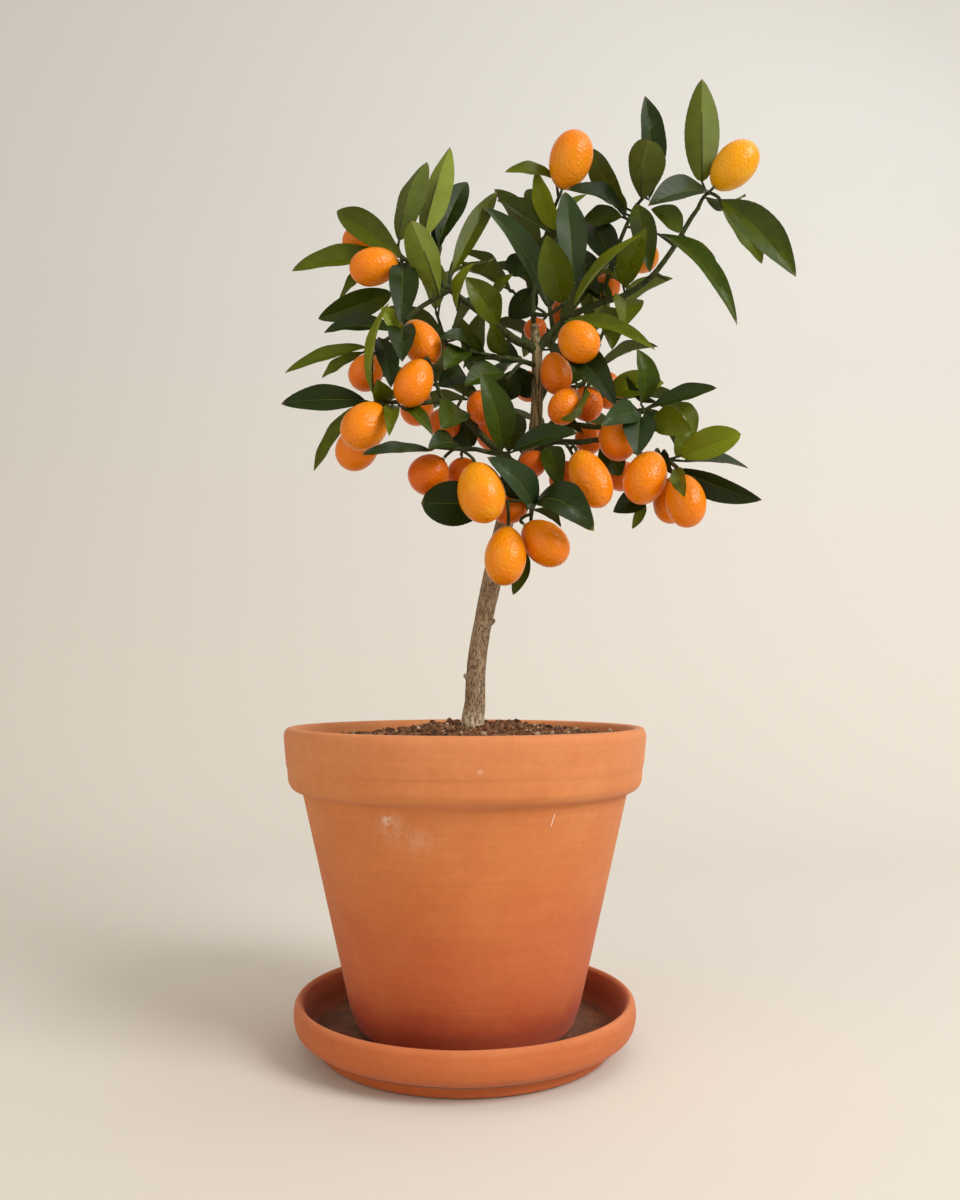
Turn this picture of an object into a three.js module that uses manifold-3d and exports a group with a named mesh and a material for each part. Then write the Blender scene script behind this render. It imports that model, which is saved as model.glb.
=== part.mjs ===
// Kumquat bonsai in a terracotta pot on its saucer. Millimetres, +Z up, -Y the front, and the
// origin on the ground under the middle of the saucer.

import * as THREE from "three";
import { mergeVertices } from "three/addons/utils/BufferGeometryUtils.js";
import Module from "manifold-3d";

const wasm = await Module();
wasm.setup();

// Driving dimensions of the pot and the saucer
const gap = 0.3;
const roundSides = 28;
const rimRadius = 110;
const potHeight = 180;
const collarHeight = 33;
const lipWidth = 8.5;
const wall = 8;
const potFootRadius = 65;
const drainRadius = 9;
const saucerRadius = 102;
const saucerHeight = 30;
const saucerFloor = 9;
const saucerFootRadius = 85;

// The soil: its height at the wall, the mound round the trunk and the crumbs on it
const soilDrop = 8;
const moundHeight = 13;
const moundRadius = 38;
const crumbHeight = 1.2;

// Leaves, stalks and fruit
const bladeThickness = 1.1;
const bladeFullness = 1.1;
const bladeClearance = 0.5;
const petioleWidth = 1.8;
const shortestPetiole = 1.5;
const limbEndMargin = 1.5;
const foldRise = 0.16;
const waveHeight = 0.5;
const stalkRadius = 0.9;
const calyxRadius = 2.6;
const calyxHeight = 3.5;
const stalkSides = 4;
const twigSides = 4;
const fruitSides = 8;
const fruitBands = 5;

// The view that the crown was measured in: the eye's place, its focal length and the middle of
// its picture in picture points, and how far it looks up. A place on the tree is written as
// [picture x, picture y, depth], with the depth in millimetres behind the trunk.
const eye = new THREE.Vector3(9, -643.9, 218.9);
const focalLength = 1039.93;
const pictureMiddle = { x: 480, y: 600 };
const lookUp = 0.0744;

function sight([x, y, depth]) {
  const across = (x - pictureMiddle.x) / focalLength;
  const above = (pictureMiddle.y - y) / focalLength;
  const forward = Math.cos(lookUp) - above * Math.sin(lookUp);
  const rise = Math.sin(lookUp) + above * Math.cos(lookUp);
  const reach = (depth - eye.y) / forward;
  return new THREE.Vector3(eye.x + reach * across, depth, eye.z + reach * rise);
}

// The trunk: a route, and its radius at each point of the route
const trunkLimbs = [
  {
    route: [
      [475, 800, 0], [473, 727, 0], [475, 702, 0], [475.5, 680, -1], [478, 652, 0], [483.5, 620, 1],
      [490.5, 587, 3], [499, 545, 6], [511, 500, 9], [524, 465, 10], [534, 438, 10], [537, 400, 8],
      [537, 370, 6], [537, 350, 5], [534, 326, 10],
    ],
    radii: [7.6, 7.2, 6.4, 6.0, 5.8, 5.6, 6.1, 5.7, 5.4, 4.9, 4.3, 3.7, 3.4, 3.3, 2.6],
    steps: 18,
    sides: 9,
  },
  {
    route: [
      [537, 352, 5], [527, 345, 3], [515, 340, 0], [502, 330, -4],
    ],
    radii: [2.9, 2.6],
    steps: 3,
    sides: 6,
  },
  {
    route: [
      [537, 352, 5], [544, 341, 6], [552, 333, 7], [561, 324, 8],
    ],
    radii: [3.0, 2.6],
    steps: 3,
    sides: 6,
  },
  {
    route: [
      [473, 679, -1], [468, 677, -3], [464, 675, -4],
    ],
    radii: [4.4, 2.2],
    steps: 2,
    sides: 6,
  },
  { route: [[483, 624, 0], [490, 622, -2], [495, 620, -3]], radii: [4.2, 1.9], steps: 2, sides: 6 },
  { route: [[489, 596, 2], [485, 594, -3]], radii: [3.8, 2.6], steps: 1, sides: 6 },
];

// The leafy branches. A limb is a route with its radius at the start and at the end.
// A leaf is [base x, y, depth, tip x, y, depth, width, turn, bow]: turn is how far its face is
// turned from the eye, in degrees, to the left hand of one who goes from base to tip, and bow is
// how far the middle of the blade stands above the straight line, in millimetres.
// A fruit is [stalk end x, y, depth, far end x, y, depth, width].
const branches = [
  {
    name: "branch_upper_left",
    parent: "trunk",
    limbs: [
      {
        route: [
          [503, 331, -4], [490, 320, -8], [470, 305, -14], [450, 290, -20], [430, 275, -24],
          [413, 264, -27], [401, 256, -29], [397, 245, -30],
        ],
        radii: [2.4, 1.2],
      },
      { route: [[452, 291, -20], [450, 278, -12], [452, 266, -4], [456, 256, 3]], radii: [1.5, 1] },
      {
        route: [
          [430, 275, -24], [436, 262, -20], [440, 250, -15], [440, 241, -12],
        ],
        radii: [1.5, 1],
      },
      { route: [[490, 320, -8], [494, 308, -3], [496, 297, 3]], radii: [1.4, 1] },
    ],
    leaves: [
      [402, 259, -33, 337, 211, -46, 18, -15],
      [399, 241, -32, 427, 162, -30, 19, 35, 7],
      [439, 296, -30, 411, 221, -56, 20, -15, 4],
      [402, 262, -34, 401, 326, -58, 18, 8],
      [438, 244, -16, 467, 182, 0, 17, 15],
      [423, 238, -26, 450, 147, -14, 19, 25, 3],
      [388, 259, -26, 292, 271, -32, 17, -45, 4],
      [452, 275, -8, 497, 192, 12, 14, 20, 3],
      [392, 293, -24, 318, 319, -20, 17, 0, 2],
      [460, 262, -2, 495, 257, 18, 9, -60, 3],
      [498, 325, -12, 465, 277, -30, 19, -20],
      [457, 310, -20, 474, 263, -34, 13, 65],
      [494, 296, 0, 513, 274, -18, 8, 30],
      [386, 264, -22, 339, 303, -12, 13, -60],
      [437, 250, -16, 441, 213, 4, 12, 0],
    ],
    fruits: [
      [384, 241, -8, 343, 242, -18, 21],
      [398, 261, -38, 350, 272, -44, 22],
    ],
  },
  {
    name: "branch_left",
    parent: "branch_upper_left",
    limbs: [
      {
        route: [
          [450, 290, -20], [434, 299, -25], [414, 312, -31], [400, 326, -36], [389, 338, -38],
          [376, 344, -36], [367, 347, -32],
        ],
        radii: [1.6, 1],
      },
    ],
    leaves: [
      [366, 347, -30, 285, 373, -40, 11, -45, 2.5],
      [397, 331, -34, 324, 333, -22, 14, -45, 5],
      [402, 325, -43, 402, 362, -74, 16, 0],
      [379, 338, -42, 391, 388, -60, 14, 20],
      [364, 352, -28, 322, 378, -14, 8, -30, 3],
      [401, 333, -50, 381, 307, -58, 11, -20],
    ],
    fruits: [
      [410, 324, -38, 432, 361, -50, 22],
      [374, 356, -36, 358, 389, -40, 20],
    ],
  },
  {
    name: "branch_lower_left",
    parent: "trunk",
    limbs: [
      {
        route: [
          [523, 468, 10], [506, 458, -4], [486, 440, -18], [468, 421, -30], [455, 408, -38],
          [443, 401, -42], [420, 403, -46], [400, 402, -47], [380, 403, -46], [366, 403, -44],
        ],
        radii: [2.6, 1],
      },
      { route: [[443, 401, -42], [437, 386, -45], [432, 370, -50]], radii: [1.3, 0.9] },
      { route: [[380, 403, -46], [377, 414, -40], [374, 424, -35]], radii: [1.1, 0.9] },
    ],
    leaves: [
      [374, 396, -50, 389, 303, -62, 13, 72],
      [366, 401, -46, 281, 404, -56, 16, -20],
      [458, 410, -41, 441, 430, -66, 19, -10],
      [399, 406, -50, 433, 436, -64, 10, 35, 5],
      [354, 407, -36, 314, 471, -6, 10, -40, 1.5],
      [392, 406, -50, 389, 436, -68, 9, 0],
      [386, 402, -48, 377, 379, -62, 12, 0],
      [508, 452, 6, 519, 414, 18, 17, 10],
    ],
    fruits: [
      [380, 409, -56, 350, 443, -74, 25],
      [373, 429, -34, 343, 466, -42, 24],
      [424, 362, -56, 404, 404, -66, 21.5],
      [452, 412, -24, 438, 434, -12, 20],
      [474, 392, -36, 492, 422, -34, 20],
      [500, 450, 4, 484, 420, 8, 20],
    ],
  },
  {
    name: "branch_centre_left",
    parent: "trunk",
    limbs: [
      {
        route: [
          [537, 366, 6], [522, 361, -6], [508, 358, -18], [494, 356, -28], [480, 353, -36],
          [469, 350, -41],
        ],
        radii: [1.8, 1],
      },
      { route: [[522, 361, -6], [514, 371, -14], [505, 380, -20]], radii: [1.2, 0.9] },
    ],
    leaves: [
      [503, 373, -23, 464, 386, -44, 17, -35],
      [500, 360, -26, 463, 368, -44, 12, -75],
      [469, 350, -43, 440, 339, -58, 13, -60, 4],
      [466, 352, -43, 444, 370, -62, 15, -30],
      [484, 352, -34, 462, 318, -44, 14, 40],
      [505, 355, -20, 492, 322, -36, 13, 20],
    ],
    fruits: [],
  },
  {
    name: "branch_front_left",
    parent: "branch_lower_left",
    limbs: [
      {
        route: [
          [503, 455, -6], [488, 452, -28], [474, 449, -44], [460, 449, -52], [445, 448, -58],
          [433, 447, -62],
        ],
        radii: [1.7, 1],
      },
      { route: [[488, 452, -28], [498, 453, -40], [508, 453, -47]], radii: [1.2, 0.9] },
    ],
    leaves: [
      [502, 450, -42, 481, 372, -62, 19, -20, 7],
      [512, 452, -50, 578, 433, -60, 15, 40],
      [431, 450, -62, 362, 455, -82, 12, -60, 0.5],
      [456, 444, -54, 428, 449, -74, 15, -40],
    ],
    fruits: [
      [475, 465, -62, 487, 520, -78, 26.5],
      [443, 459, -46, 415, 490, -40, 24],
      [462, 458, -30, 464, 488, -20, 20],
    ],
  },
  {
    name: "branch_front_low",
    parent: "trunk",
    limbs: [
      {
        route: [
          [521, 480, 10], [525, 486, -12], [529, 492, -32], [531, 503, -46], [532, 515, -50],
        ],
        radii: [1.8, 1],
      },
      {
        route: [
          [531, 502, -46], [531, 520, -38], [529, 537, -34], [528, 551, -34],
        ],
        radii: [1.2, 0.9],
      },
      { route: [[531, 500, -44], [512, 501, -47], [494, 502, -46]], radii: [1.1, 0.9] },
    ],
    leaves: [
      [533, 511, -50, 487, 457, -72, 18, -30, 9],
      [534, 503, -50, 594, 531, -64, 22, 28, 15],
      [488, 504, -46, 421, 503, -74, 26, 0, 2],
      [526, 553, -34, 513, 595, -36, 10, 10, 1],
      [534, 509, -48, 561, 527, -36, 11, 115, 1],
    ],
    fruits: [
      [508, 527, -56, 503, 585, -62, 23.5],
      [525, 525, -49, 565, 561, -54, 24],
      [527, 508, -38, 492, 507, -28, 20],
      [536, 477, -16, 530, 451, -22, 17],
    ],
  },
  {
    name: "branch_top",
    parent: "trunk",
    limbs: [
      {
        route: [
          [534, 328, 10], [533, 312, 12], [533, 298, 14], [536, 268, 16], [545, 238, 14],
          [553, 212, 8], [560, 194, 1],
        ],
        radii: [1.9, 1],
      },
      {
        route: [
          [533, 314, 12], [546, 315, -4], [556, 310, -14], [565, 302, -20], [572, 290, -22],
        ],
        radii: [1.4, 1],
      },
    ],
    leaves: [
      [562, 303, -24, 547, 235, -50, 21, 0],
      [573, 286, -24, 565, 192, -18, 19, -12],
      [549, 306, -10, 483, 207, 4, 17, -35, 10],
      [557, 230, 10, 536, 170, -4, 14, 20],
      [552, 234, 12, 497, 200, 18, 15, -40],
      [555, 178, 0, 505, 172, -8, 13, -55, 2],
      [548, 222, 14, 526, 190, 24, 12, 0],
      [534, 268, 18, 505, 263, 26, 15, 0],
    ],
    fruits: [
      [562, 189, -6, 579, 131, -12, 27],
      [543, 320, 25, 528, 338, 26, 15],
    ],
  },
  {
    name: "branch_right",
    parent: "trunk",
    limbs: [
      {
        route: [
          [560, 325, 8], [570, 316, 8], [600, 303, 4], [625, 295, 0], [650, 278, -5],
          [672, 250, -10], [690, 220, -14], [699, 207, -16],
        ],
        radii: [2.5, 1.3],
      },
      {
        route: [
          [602, 302, 4], [607, 280, 10], [616, 252, 14], [628, 222, 12], [638, 204, 8],
          [646, 195, 4],
        ],
        radii: [1.6, 1],
      },
      { route: [[570, 316, 8], [569, 322, -6], [566, 327, -18], [566, 330, -26]], radii: [1.4, 1] },
      { route: [[570, 316, 8], [560, 332, 2], [553, 342, -2]], radii: [1.3, 1] },
      { route: [[655, 273, -6], [662, 277, -7], [668, 280, -8]], radii: [1.3, 0.8] },
    ],
    leaves: [
      [554, 345, -8, 617, 408, -46, 20, 30, 10],
      [564, 322, -14, 655, 350, -42, 13, 45, 7],
      [658, 234, -14, 737, 325, -34, 18, 45, 11],
      [642, 200, 2, 648, 140, -30, 25, 20, 5],
      [649, 200, 4, 645, 96, 14, 18, -25, 6],
      [626, 218, 8, 567, 190, -10, 17, -55, 6],
      [623, 286, -4, 646, 228, -28, 17, 15],
      [574, 307, -2, 642, 235, -30, 15, 70, 4],
      [636, 204, -2, 650, 273, -16, 16, 10],
      [626, 300, -4, 624, 327, -32, 19, 10],
      [606, 307, 0, 612, 350, -20, 17, 20],
      [684, 236, -10, 714, 286, 4, 13, 40],
      [682, 231, -14, 651, 209, -30, 15, -30],
      [626, 208, 12, 592, 149, 20, 17, 20],
      [626, 214, 14, 588, 185, 26, 13, -60],
      [622, 217, 14, 583, 221, 28, 15, -30, 1],
      [612, 300, 4, 580, 289, 18, 14, -60],
      [631, 293, 2, 598, 272, 12, 11, -70],
      [616, 268, 10, 590, 222, 26, 20, -10],
    ],
    fruits: [
      [567, 331, -30, 590, 352, -50, 24],
      [552, 354, -4, 560, 393, -12, 20],
      [640, 238, 16, 645, 273, 22, 21],
      [612, 277, 20, 602, 297, 40, 18],
    ],
  },
  {
    name: "branch_top_right",
    parent: "branch_right",
    limbs: [
      {
        route: [
          [698, 208, -16], [703, 198, -17], [709, 193, -19], [718, 197, -21], [722, 204, -20],
        ],
        radii: [1.3, 0.9],
      },
    ],
    leaves: [
      [702, 182, -18, 702, 79, -10, 22, 0],
      [720, 200, -23, 796, 277, -36, 22, 24, 8],
      [708, 191, -20, 648, 206, -44, 20, -45, 4],
      [722, 207, -19, 762, 264, -6, 16, 30],
      [706, 198, -12, 745, 194, 8, 13, -60],
    ],
    fruits: [
      [714, 187, -23, 754, 145, -27, 25],
    ],
  },
  {
    name: "branch_inner_right",
    parent: "trunk",
    limbs: [
      {
        route: [
          [537, 388, 8], [556, 389, 13], [574, 387, 2], [583, 383, -12], [588, 380, -20],
          [598, 388, -20],
        ],
        radii: [1.8, 1],
      },
    ],
    leaves: [
      [606, 392, -20, 664, 383, -32, 17, 20],
      [582, 378, -16, 612, 390, 4, 13, 30],
      [562, 387, 14, 590, 352, 34, 16, 0],
      [585, 389, -34, 560, 419, -58, 12, 80],
    ],
    fruits: [
      [574, 391, -26, 556, 421, -36, 19],
      [588, 387, -5, 586, 420, -9, 20],
    ],
  },
  {
    name: "branch_lower_right",
    parent: "trunk",
    limbs: [
      {
        route: [
          [535, 436, 10], [547, 427, 0], [560, 424, -8], [578, 425, -16], [600, 427, -24],
          [620, 421, -30], [638, 414, -34], [650, 407, -36], [660, 400, -38],
        ],
        radii: [2.2, 1],
      },
    ],
    leaves: [
      [640, 417, -40, 637, 456, -60, 19, 0],
      [653, 417, -39, 692, 431, -58, 17, 5],
      [652, 407, -38, 717, 388, -52, 13, 45, 1],
      [641, 404, -36, 637, 349, -46, 15, -35, 6],
      [637, 412, -38, 601, 426, -56, 16, -20],
      [662, 406, -34, 694, 440, -36, 14, 50, 8],
      [550, 427, -6, 583, 434, -26, 12, 60],
      [644, 413, -38, 658, 432, -50, 11, 20],
    ],
    fruits: [
      [607, 425, -32, 626, 457, -42, 21],
      [578, 430, -4, 601, 447, 2, 20],
    ],
  },
  {
    name: "branch_low_right",
    parent: "trunk",
    limbs: [
      {
        route: [
          [528, 458, 10], [550, 443, -6], [566, 442, -14], [582, 442, -20], [600, 440, -20],
          [618, 446, -19], [638, 453, -28], [655, 457, -38], [672, 461, -46],
        ],
        radii: [2.2, 1],
      },
      { route: [[566, 442, -14], [567, 446, -28], [571, 449, -42]], radii: [1.1, 0.9] },
      {
        route: [
          [638, 453, -28], [642, 468, -30], [645, 484, -34], [648, 494, -36],
        ],
        radii: [1.1, 0.9],
      },
    ],
    leaves: [
      [679, 469, -50, 762, 500, -62, 16, -25, 3],
      [680, 456, -49, 741, 434, -64, 18, 10],
      [676, 468, -52, 685, 497, -84, 9, -10, 1],
      [647, 490, -36, 613, 512, -50, 15, 5],
      [643, 499, -36, 632, 529, -46, 7, 20],
      [550, 447, -14, 561, 490, -38, 15, 0],
      [684, 461, -44, 748, 468, -36, 14, 65, 2],
      [676, 457, -46, 691, 431, -38, 14, -10],
      [601, 446, -22, 621, 476, -22, 17, 10],
    ],
    fruits: [
      [577, 452, -48, 603, 506, -58, 23],
      [655, 454, -48, 636, 501, -60, 24],
      [681, 476, -60, 690, 526, -70, 22.5],
      [672, 478, -30, 670, 523, -35, 21],
      [572, 464, -20, 560, 492, -28, 20],
      [620, 462, -2, 624, 490, -6, 20],
    ],
  },
  {
    name: "branch_back_left",
    parent: "trunk",
    limbs: [
      {
        route: [
          [527, 455, 12], [502, 425, 30], [474, 392, 46], [450, 352, 60], [436, 312, 70],
        ],
        radii: [2.6, 1],
      },
      { route: [[474, 392, 46], [446, 386, 40], [420, 384, 30]], radii: [1.4, 1] },
    ],
    rule: { leaves: 13, start: 0.24, seed: 47 },
    leaves: [],
    fruits: [
      [446, 340, 72, 430, 368, 80, 22],
      [420, 388, 34, 414, 426, 38, 22],
    ],
  },
  {
    name: "branch_back_middle",
    parent: "trunk",
    limbs: [
      {
        route: [
          [538, 404, 10], [550, 374, 32], [553, 336, 54], [548, 296, 72], [544, 256, 80],
        ],
        radii: [2.4, 1],
      },
      { route: [[553, 336, 54], [530, 312, 50], [512, 290, 42]], radii: [1.4, 1] },
    ],
    rule: { leaves: 13, start: 0.32, seed: 69 },
    leaves: [],
    fruits: [
      [538, 378, 36, 518, 394, 30, 21],
      [558, 300, 78, 572, 332, 90, 22],
    ],
  },
  {
    name: "branch_back_right",
    parent: "trunk",
    limbs: [
      {
        route: [
          [531, 448, 14], [555, 420, 33], [580, 390, 48], [594, 354, 58], [612, 312, 62],
        ],
        radii: [2.6, 1],
      },
      { route: [[580, 390, 48], [606, 396, 42], [630, 402, 30]], radii: [1.4, 1] },
    ],
    rule: { leaves: 12, start: 0.1, seed: 19 },
    leaves: [],
    fruits: [
      [602, 372, 58, 614, 408, 70, 22],
    ],
  },
];

// A repeatable draw between 0 and 1
function draws(seed) {
  let state = seed;
  return () => {
    state = (state * 16807) % 2147483647;
    return state / 2147483647;
  };
}

function solidOf(geometry) {
  const bare = geometry.clone();
  bare.deleteAttribute("normal");
  bare.deleteAttribute("uv");
  const merged = mergeVertices(bare, 1e-4);
  return new wasm.Manifold(new wasm.Mesh({
    numProp: 3,
    vertProperties: merged.attributes.position.array,
    triVerts: Uint32Array.from(merged.index.array),
  }));
}

function geometryOf(body) {
  const mesh = body.getMesh();
  const geometry = new THREE.BufferGeometry();
  geometry.setAttribute("position", new THREE.BufferAttribute(mesh.vertProperties, 3));
  geometry.setIndex(new THREE.BufferAttribute(mesh.triVerts, 1));
  geometry.computeVertexNormals();
  return geometry;
}

// The largest shell of a solid, without loose scraps and with sealed hollows filled
function oneBody(body) {
  const shells = body.decompose();
  return shells.reduce((largest, shell) => (shell.volume() > largest.volume() ? shell : largest));
}

// A closed skin over rings of points. A ring of one point is a tip. The second half of a ring is
// split into triangles the other way round, so that both faces of a blade are split alike.
function loft(rings) {
  const points = rings.flat();
  const faces = [];
  let start = 0;
  for (let row = 0; row + 1 < rings.length; row += 1) {
    const count = rings[row].length;
    const next = start + count;
    const tip = rings[row + 1].length === 1;
    for (let k = 0; k < count; k += 1) {
      const [a, b] = [start + k, start + ((k + 1) % count)];
      const [c, d] = tip ? [next, next] : [next + k, next + ((k + 1) % count)];
      if (tip) {
        faces.push([a, b, c]);
      } else if (k < count / 2) {
        faces.push([a, b, d], [a, d, c]);
      } else {
        faces.push([a, b, c], [b, d, c]);
      }
    }
    start = next;
  }
  const closeRing = (first, count, flip) => {
    for (let k = 1; k + 1 < count; k += 1) {
      faces.push(flip ? [first, first + k + 1, first + k] : [first, first + k, first + k + 1]);
    }
  };
  closeRing(0, rings[0].length, true);
  closeRing(start, rings.at(-1).length, false);
  const inward = signedVolume(points, faces) < 0;
  const geometry = new THREE.BufferGeometry().setFromPoints(points);
  geometry.setIndex(faces.flatMap((face) => (inward ? face.toReversed() : face)));
  return geometry;
}

function signedVolume(points, faces) {
  const corner = new THREE.Vector3();
  return faces.reduce((sum, [a, b, c]) => sum + points[a].dot(corner.crossVectors(points[b], points[c])), 0);
}

function curveThrough(route) {
  return new THREE.CatmullRomCurve3(route.map(sight), false, "catmullrom", 0.5);
}

function radiusAt(radii, share) {
  const place = share * (radii.length - 1);
  const index = Math.min(Math.floor(place), radii.length - 2);
  return THREE.MathUtils.lerp(radii[index], radii[index + 1], place - index);
}

// The middles of a limb's rings. With no steps given they are the points of its route.
function limbMiddles({ route, steps = route.length - 1 }) {
  return curveThrough(route).getPoints(steps);
}

// A ring of points round a middle, square to its heading, that starts beside the given normal
function ringRound(middle, heading, normal, radius, sides) {
  const side = normal.clone().addScaledVector(heading, -normal.dot(heading)).normalize();
  const other = heading.clone().cross(side);
  return Array.from({ length: sides }, (_, k) => {
    const angle = (2 * Math.PI * k) / sides;
    return middle.clone()
      .addScaledVector(side, radius * Math.cos(angle))
      .addScaledVector(other, radius * Math.sin(angle));
  });
}

// A tapered limb, made fatter by extra where something else needs room round it
function limbGeometry(limb, extra = 0) {
  const middles = limbMiddles(limb);
  const last = middles.length - 1;
  const normal = new THREE.Vector3(0.36, 0.48, 0.8);
  return loft(middles.map((middle, k) => {
    const heading = middles[Math.min(k + 1, last)].clone().sub(middles[Math.max(k - 1, 0)]).normalize();
    return ringRound(middle, heading, normal, radiusAt(limb.radii, k / last) + extra, limb.sides ?? twigSides);
  }));
}

function joined(geometries) {
  return geometries.map(solidOf).reduce((sum, body) => sum.add(body));
}

// The point on the middle line of a branch's limbs that is nearest to a place, a little way in
// from each limb's end
function nearestOnLimbs(limbs, place) {
  let best = null;
  for (const limb of limbs) {
    const middles = limbMiddles(limb);
    const end = middles.at(-1);
    end.addScaledVector(middles.at(-2).clone().sub(end).normalize(), limbEndMargin);
    for (let k = 0; k + 1 < middles.length; k += 1) {
      const piece = new THREE.Line3(middles[k], middles[k + 1]);
      const near = piece.closestPointToPoint(place, true, new THREE.Vector3());
      if (!best || near.distanceTo(place) < best.distanceTo(place)) {
        best = near;
      }
    }
  }
  return best;
}

// The frame of a leaf: along the blade, across it and out of its upper face
function bladeFrame(base, tip, turn) {
  const along = tip.clone().sub(base).normalize();
  const toEye = eye.clone().sub(base.clone().lerp(tip, 0.5));
  toEye.addScaledVector(along, -toEye.dot(along)).normalize();
  const left = toEye.clone().cross(along);
  const angle = THREE.MathUtils.degToRad(turn);
  const up = toEye.multiplyScalar(Math.cos(angle)).addScaledVector(left, Math.sin(angle));
  return { along, up, across: along.clone().cross(up) };
}

// Half the width of a blade along its length, as a share of its greatest half width. It is a
// little full, because the edge runs straight from ring to ring.
function bladeOutline(share) {
  return bladeFullness * Math.sin(Math.PI * share ** 0.85) ** 0.8;
}

// The places of the rings along a blade, as shares of its length. A leaf on the hidden side has
// fewer.
const bladeRings = [0.22, 0.52, 0.8];
const plainBladeRings = [0.28, 0.7];

// A leaf: a petiole sunk in the limb, and a folded, bowed blade with a waved edge. A bare blade
// has no petiole.
function leafGeometry(leaf, extra = 0, bareBlade = false) {
  const { root, base, tip, width, turn, bow, blade = bladeRings } = leaf;
  const { along, up, across } = bladeFrame(base, tip, turn);
  const length = base.distanceTo(tip);
  const section = (middle, half, rise, thick, wave = 0) => [
    middle.clone().addScaledVector(across, -half).addScaledVector(up, rise + wave),
    middle.clone().addScaledVector(up, thick / 2),
    middle.clone().addScaledVector(across, half).addScaledVector(up, rise - wave),
    middle.clone().addScaledVector(up, -thick / 2),
  ];
  const thickness = bladeThickness + 2 * extra;
  const petiole = [
    section(root, petioleWidth / 2, 0, petioleWidth),
    section(base, petioleWidth / 2 + extra, 0, petioleWidth),
  ];
  const rings = bareBlade ? [] : petiole;
  blade.forEach((share, index) => {
    const half = (bladeOutline(share) * width) / 2 + extra;
    const middle = base.clone().addScaledVector(along, share * length)
      .addScaledVector(up, bow * 4 * share * (1 - share));
    const wave = index % 2 ? waveHeight : -waveHeight;
    rings.push(section(middle, half, half * 2 * foldRise, thickness, wave));
  });
  rings.push([tip.clone().addScaledVector(along, extra)]);
  return loft(rings);
}

// The root of a leaf's petiole, in the middle of the limb that it grows from
function petioleRoot(limbs, base, tip) {
  const root = nearestOnLimbs(limbs, base);
  if (root.distanceTo(base) > shortestPetiole) {
    return root;
  }
  return base.clone().addScaledVector(tip.clone().sub(base).normalize(), -shortestPetiole);
}

function handPlacedLeaf(limbs, [bx, by, bd, tx, ty, td, width, turn, bow], shift) {
  const base = sight([bx, by, bd]);
  const tip = sight([tx, ty, td + shift]);
  const root = petioleRoot(limbs, base, tip);
  return { root, base, tip, width, turn, bow: bow ?? base.distanceTo(tip) * 0.09 };
}

// Leaves along the hidden side of the crown: one after another round each limb by the golden
// angle, leaning towards its end
function ruledLeaves({ limbs, rule }) {
  const draw = draws(rule.seed);
  const goldenAngle = Math.PI * (3 - Math.sqrt(5));
  const lengths = limbs.map(({ route }) => curveThrough(route).getLength());
  const total = lengths.reduce((sum, length) => sum + length);
  return limbs.flatMap(({ route }, index) => {
    const curve = curveThrough(route);
    const count = Math.round((rule.leaves * lengths[index]) / total);
    const start = index === 0 ? rule.start : 0.35;
    return Array.from({ length: count }, (_, k) => {
      const share = start + ((1 - start) * (k + 1)) / count;
      const root = curve.getPoint(share);
      const along = curve.getTangent(share);
      const side = new THREE.Vector3(0, 0, 1).cross(along).normalize();
      side.applyAxisAngle(along, k * goldenAngle + draw() * 0.6);
      const lean = THREE.MathUtils.degToRad(THREE.MathUtils.lerp(70, 25, share) + 20 * draw());
      const heading = along.multiplyScalar(Math.cos(lean)).addScaledVector(side, Math.sin(lean)).normalize();
      const base = root.clone().addScaledVector(heading, 7 + 3 * draw());
      const length = 42 + 12 * draw();
      const width = 16 + 5 * draw();
      return { root, base, heading, length, width, bow: 5 };
    });
  });
}

// A leaf of the hidden side, swung by a shift of its tip towards the eye or away from it. Its
// upper face looks to the sky.
function ruledLeaf({ root, base, heading, length, width, bow }, shift) {
  const tip = base.clone().addScaledVector(heading, length);
  tip.y += shift;
  tip.sub(base).setLength(length).add(base);
  const { up } = bladeFrame(base, tip, 0);
  const along = tip.clone().sub(base).normalize();
  const sky = new THREE.Vector3(0, 0.2, 1);
  sky.addScaledVector(along, -sky.dot(along)).normalize();
  const turn = THREE.MathUtils.radToDeg(Math.atan2(along.dot(up.clone().cross(sky)) * -1, up.dot(sky)));
  return { root, base, tip, width, turn, bow, blade: plainBladeRings };
}

// The first shift of a leaf's tip that clears all that stands in its way, if there is one. Leaves
// of one branch may meet at their petioles and cross its stems, but their blades stay apart.
const tipShifts = [0, 6, -6, 12, -12, 18, -18, 24, -24, 30, -30, 36, -36];

function clearLeaf(place, branchName, obstacles) {
  for (const shift of tipShifts) {
    const leaf = place(shift);
    const whole = solidOf(leafGeometry(leaf, bladeClearance));
    const bare = solidOf(leafGeometry(leaf, bladeClearance, true));
    const blocked = ({ owner, body, blade, box }) => (
      owner === branchName ? blade !== null && crosses(bare, blade, box) : crosses(whole, body, box));
    if (!obstacles.some(blocked)) {
      return leaf;
    }
  }
  return null;
}

function crosses(one, other, box) {
  const own = one.boundingBox();
  const apart = [0, 1, 2].some((axis) => own.min[axis] > box.max[axis] || own.max[axis] < box.min[axis]);
  return !apart && !one.intersect(other).isEmpty();
}

// Something that a leaf has to clear: its body, its branch, and its blade alone if it is a leaf
function obstacle(body, owner, blade = null) {
  return { body, owner, blade, box: body.boundingBox() };
}

// A fruit is a lathed oval; its place is kept in the mesh's position and rotation
function fruitPlace([sx, sy, sd, fx, fy, fd, width]) {
  const stalkEnd = sight([sx, sy, sd]);
  const farEnd = sight([fx, fy, fd]);
  const axis = farEnd.clone().sub(stalkEnd);
  return { stalkEnd, farEnd, width, length: axis.length(), axis: axis.normalize() };
}

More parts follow.
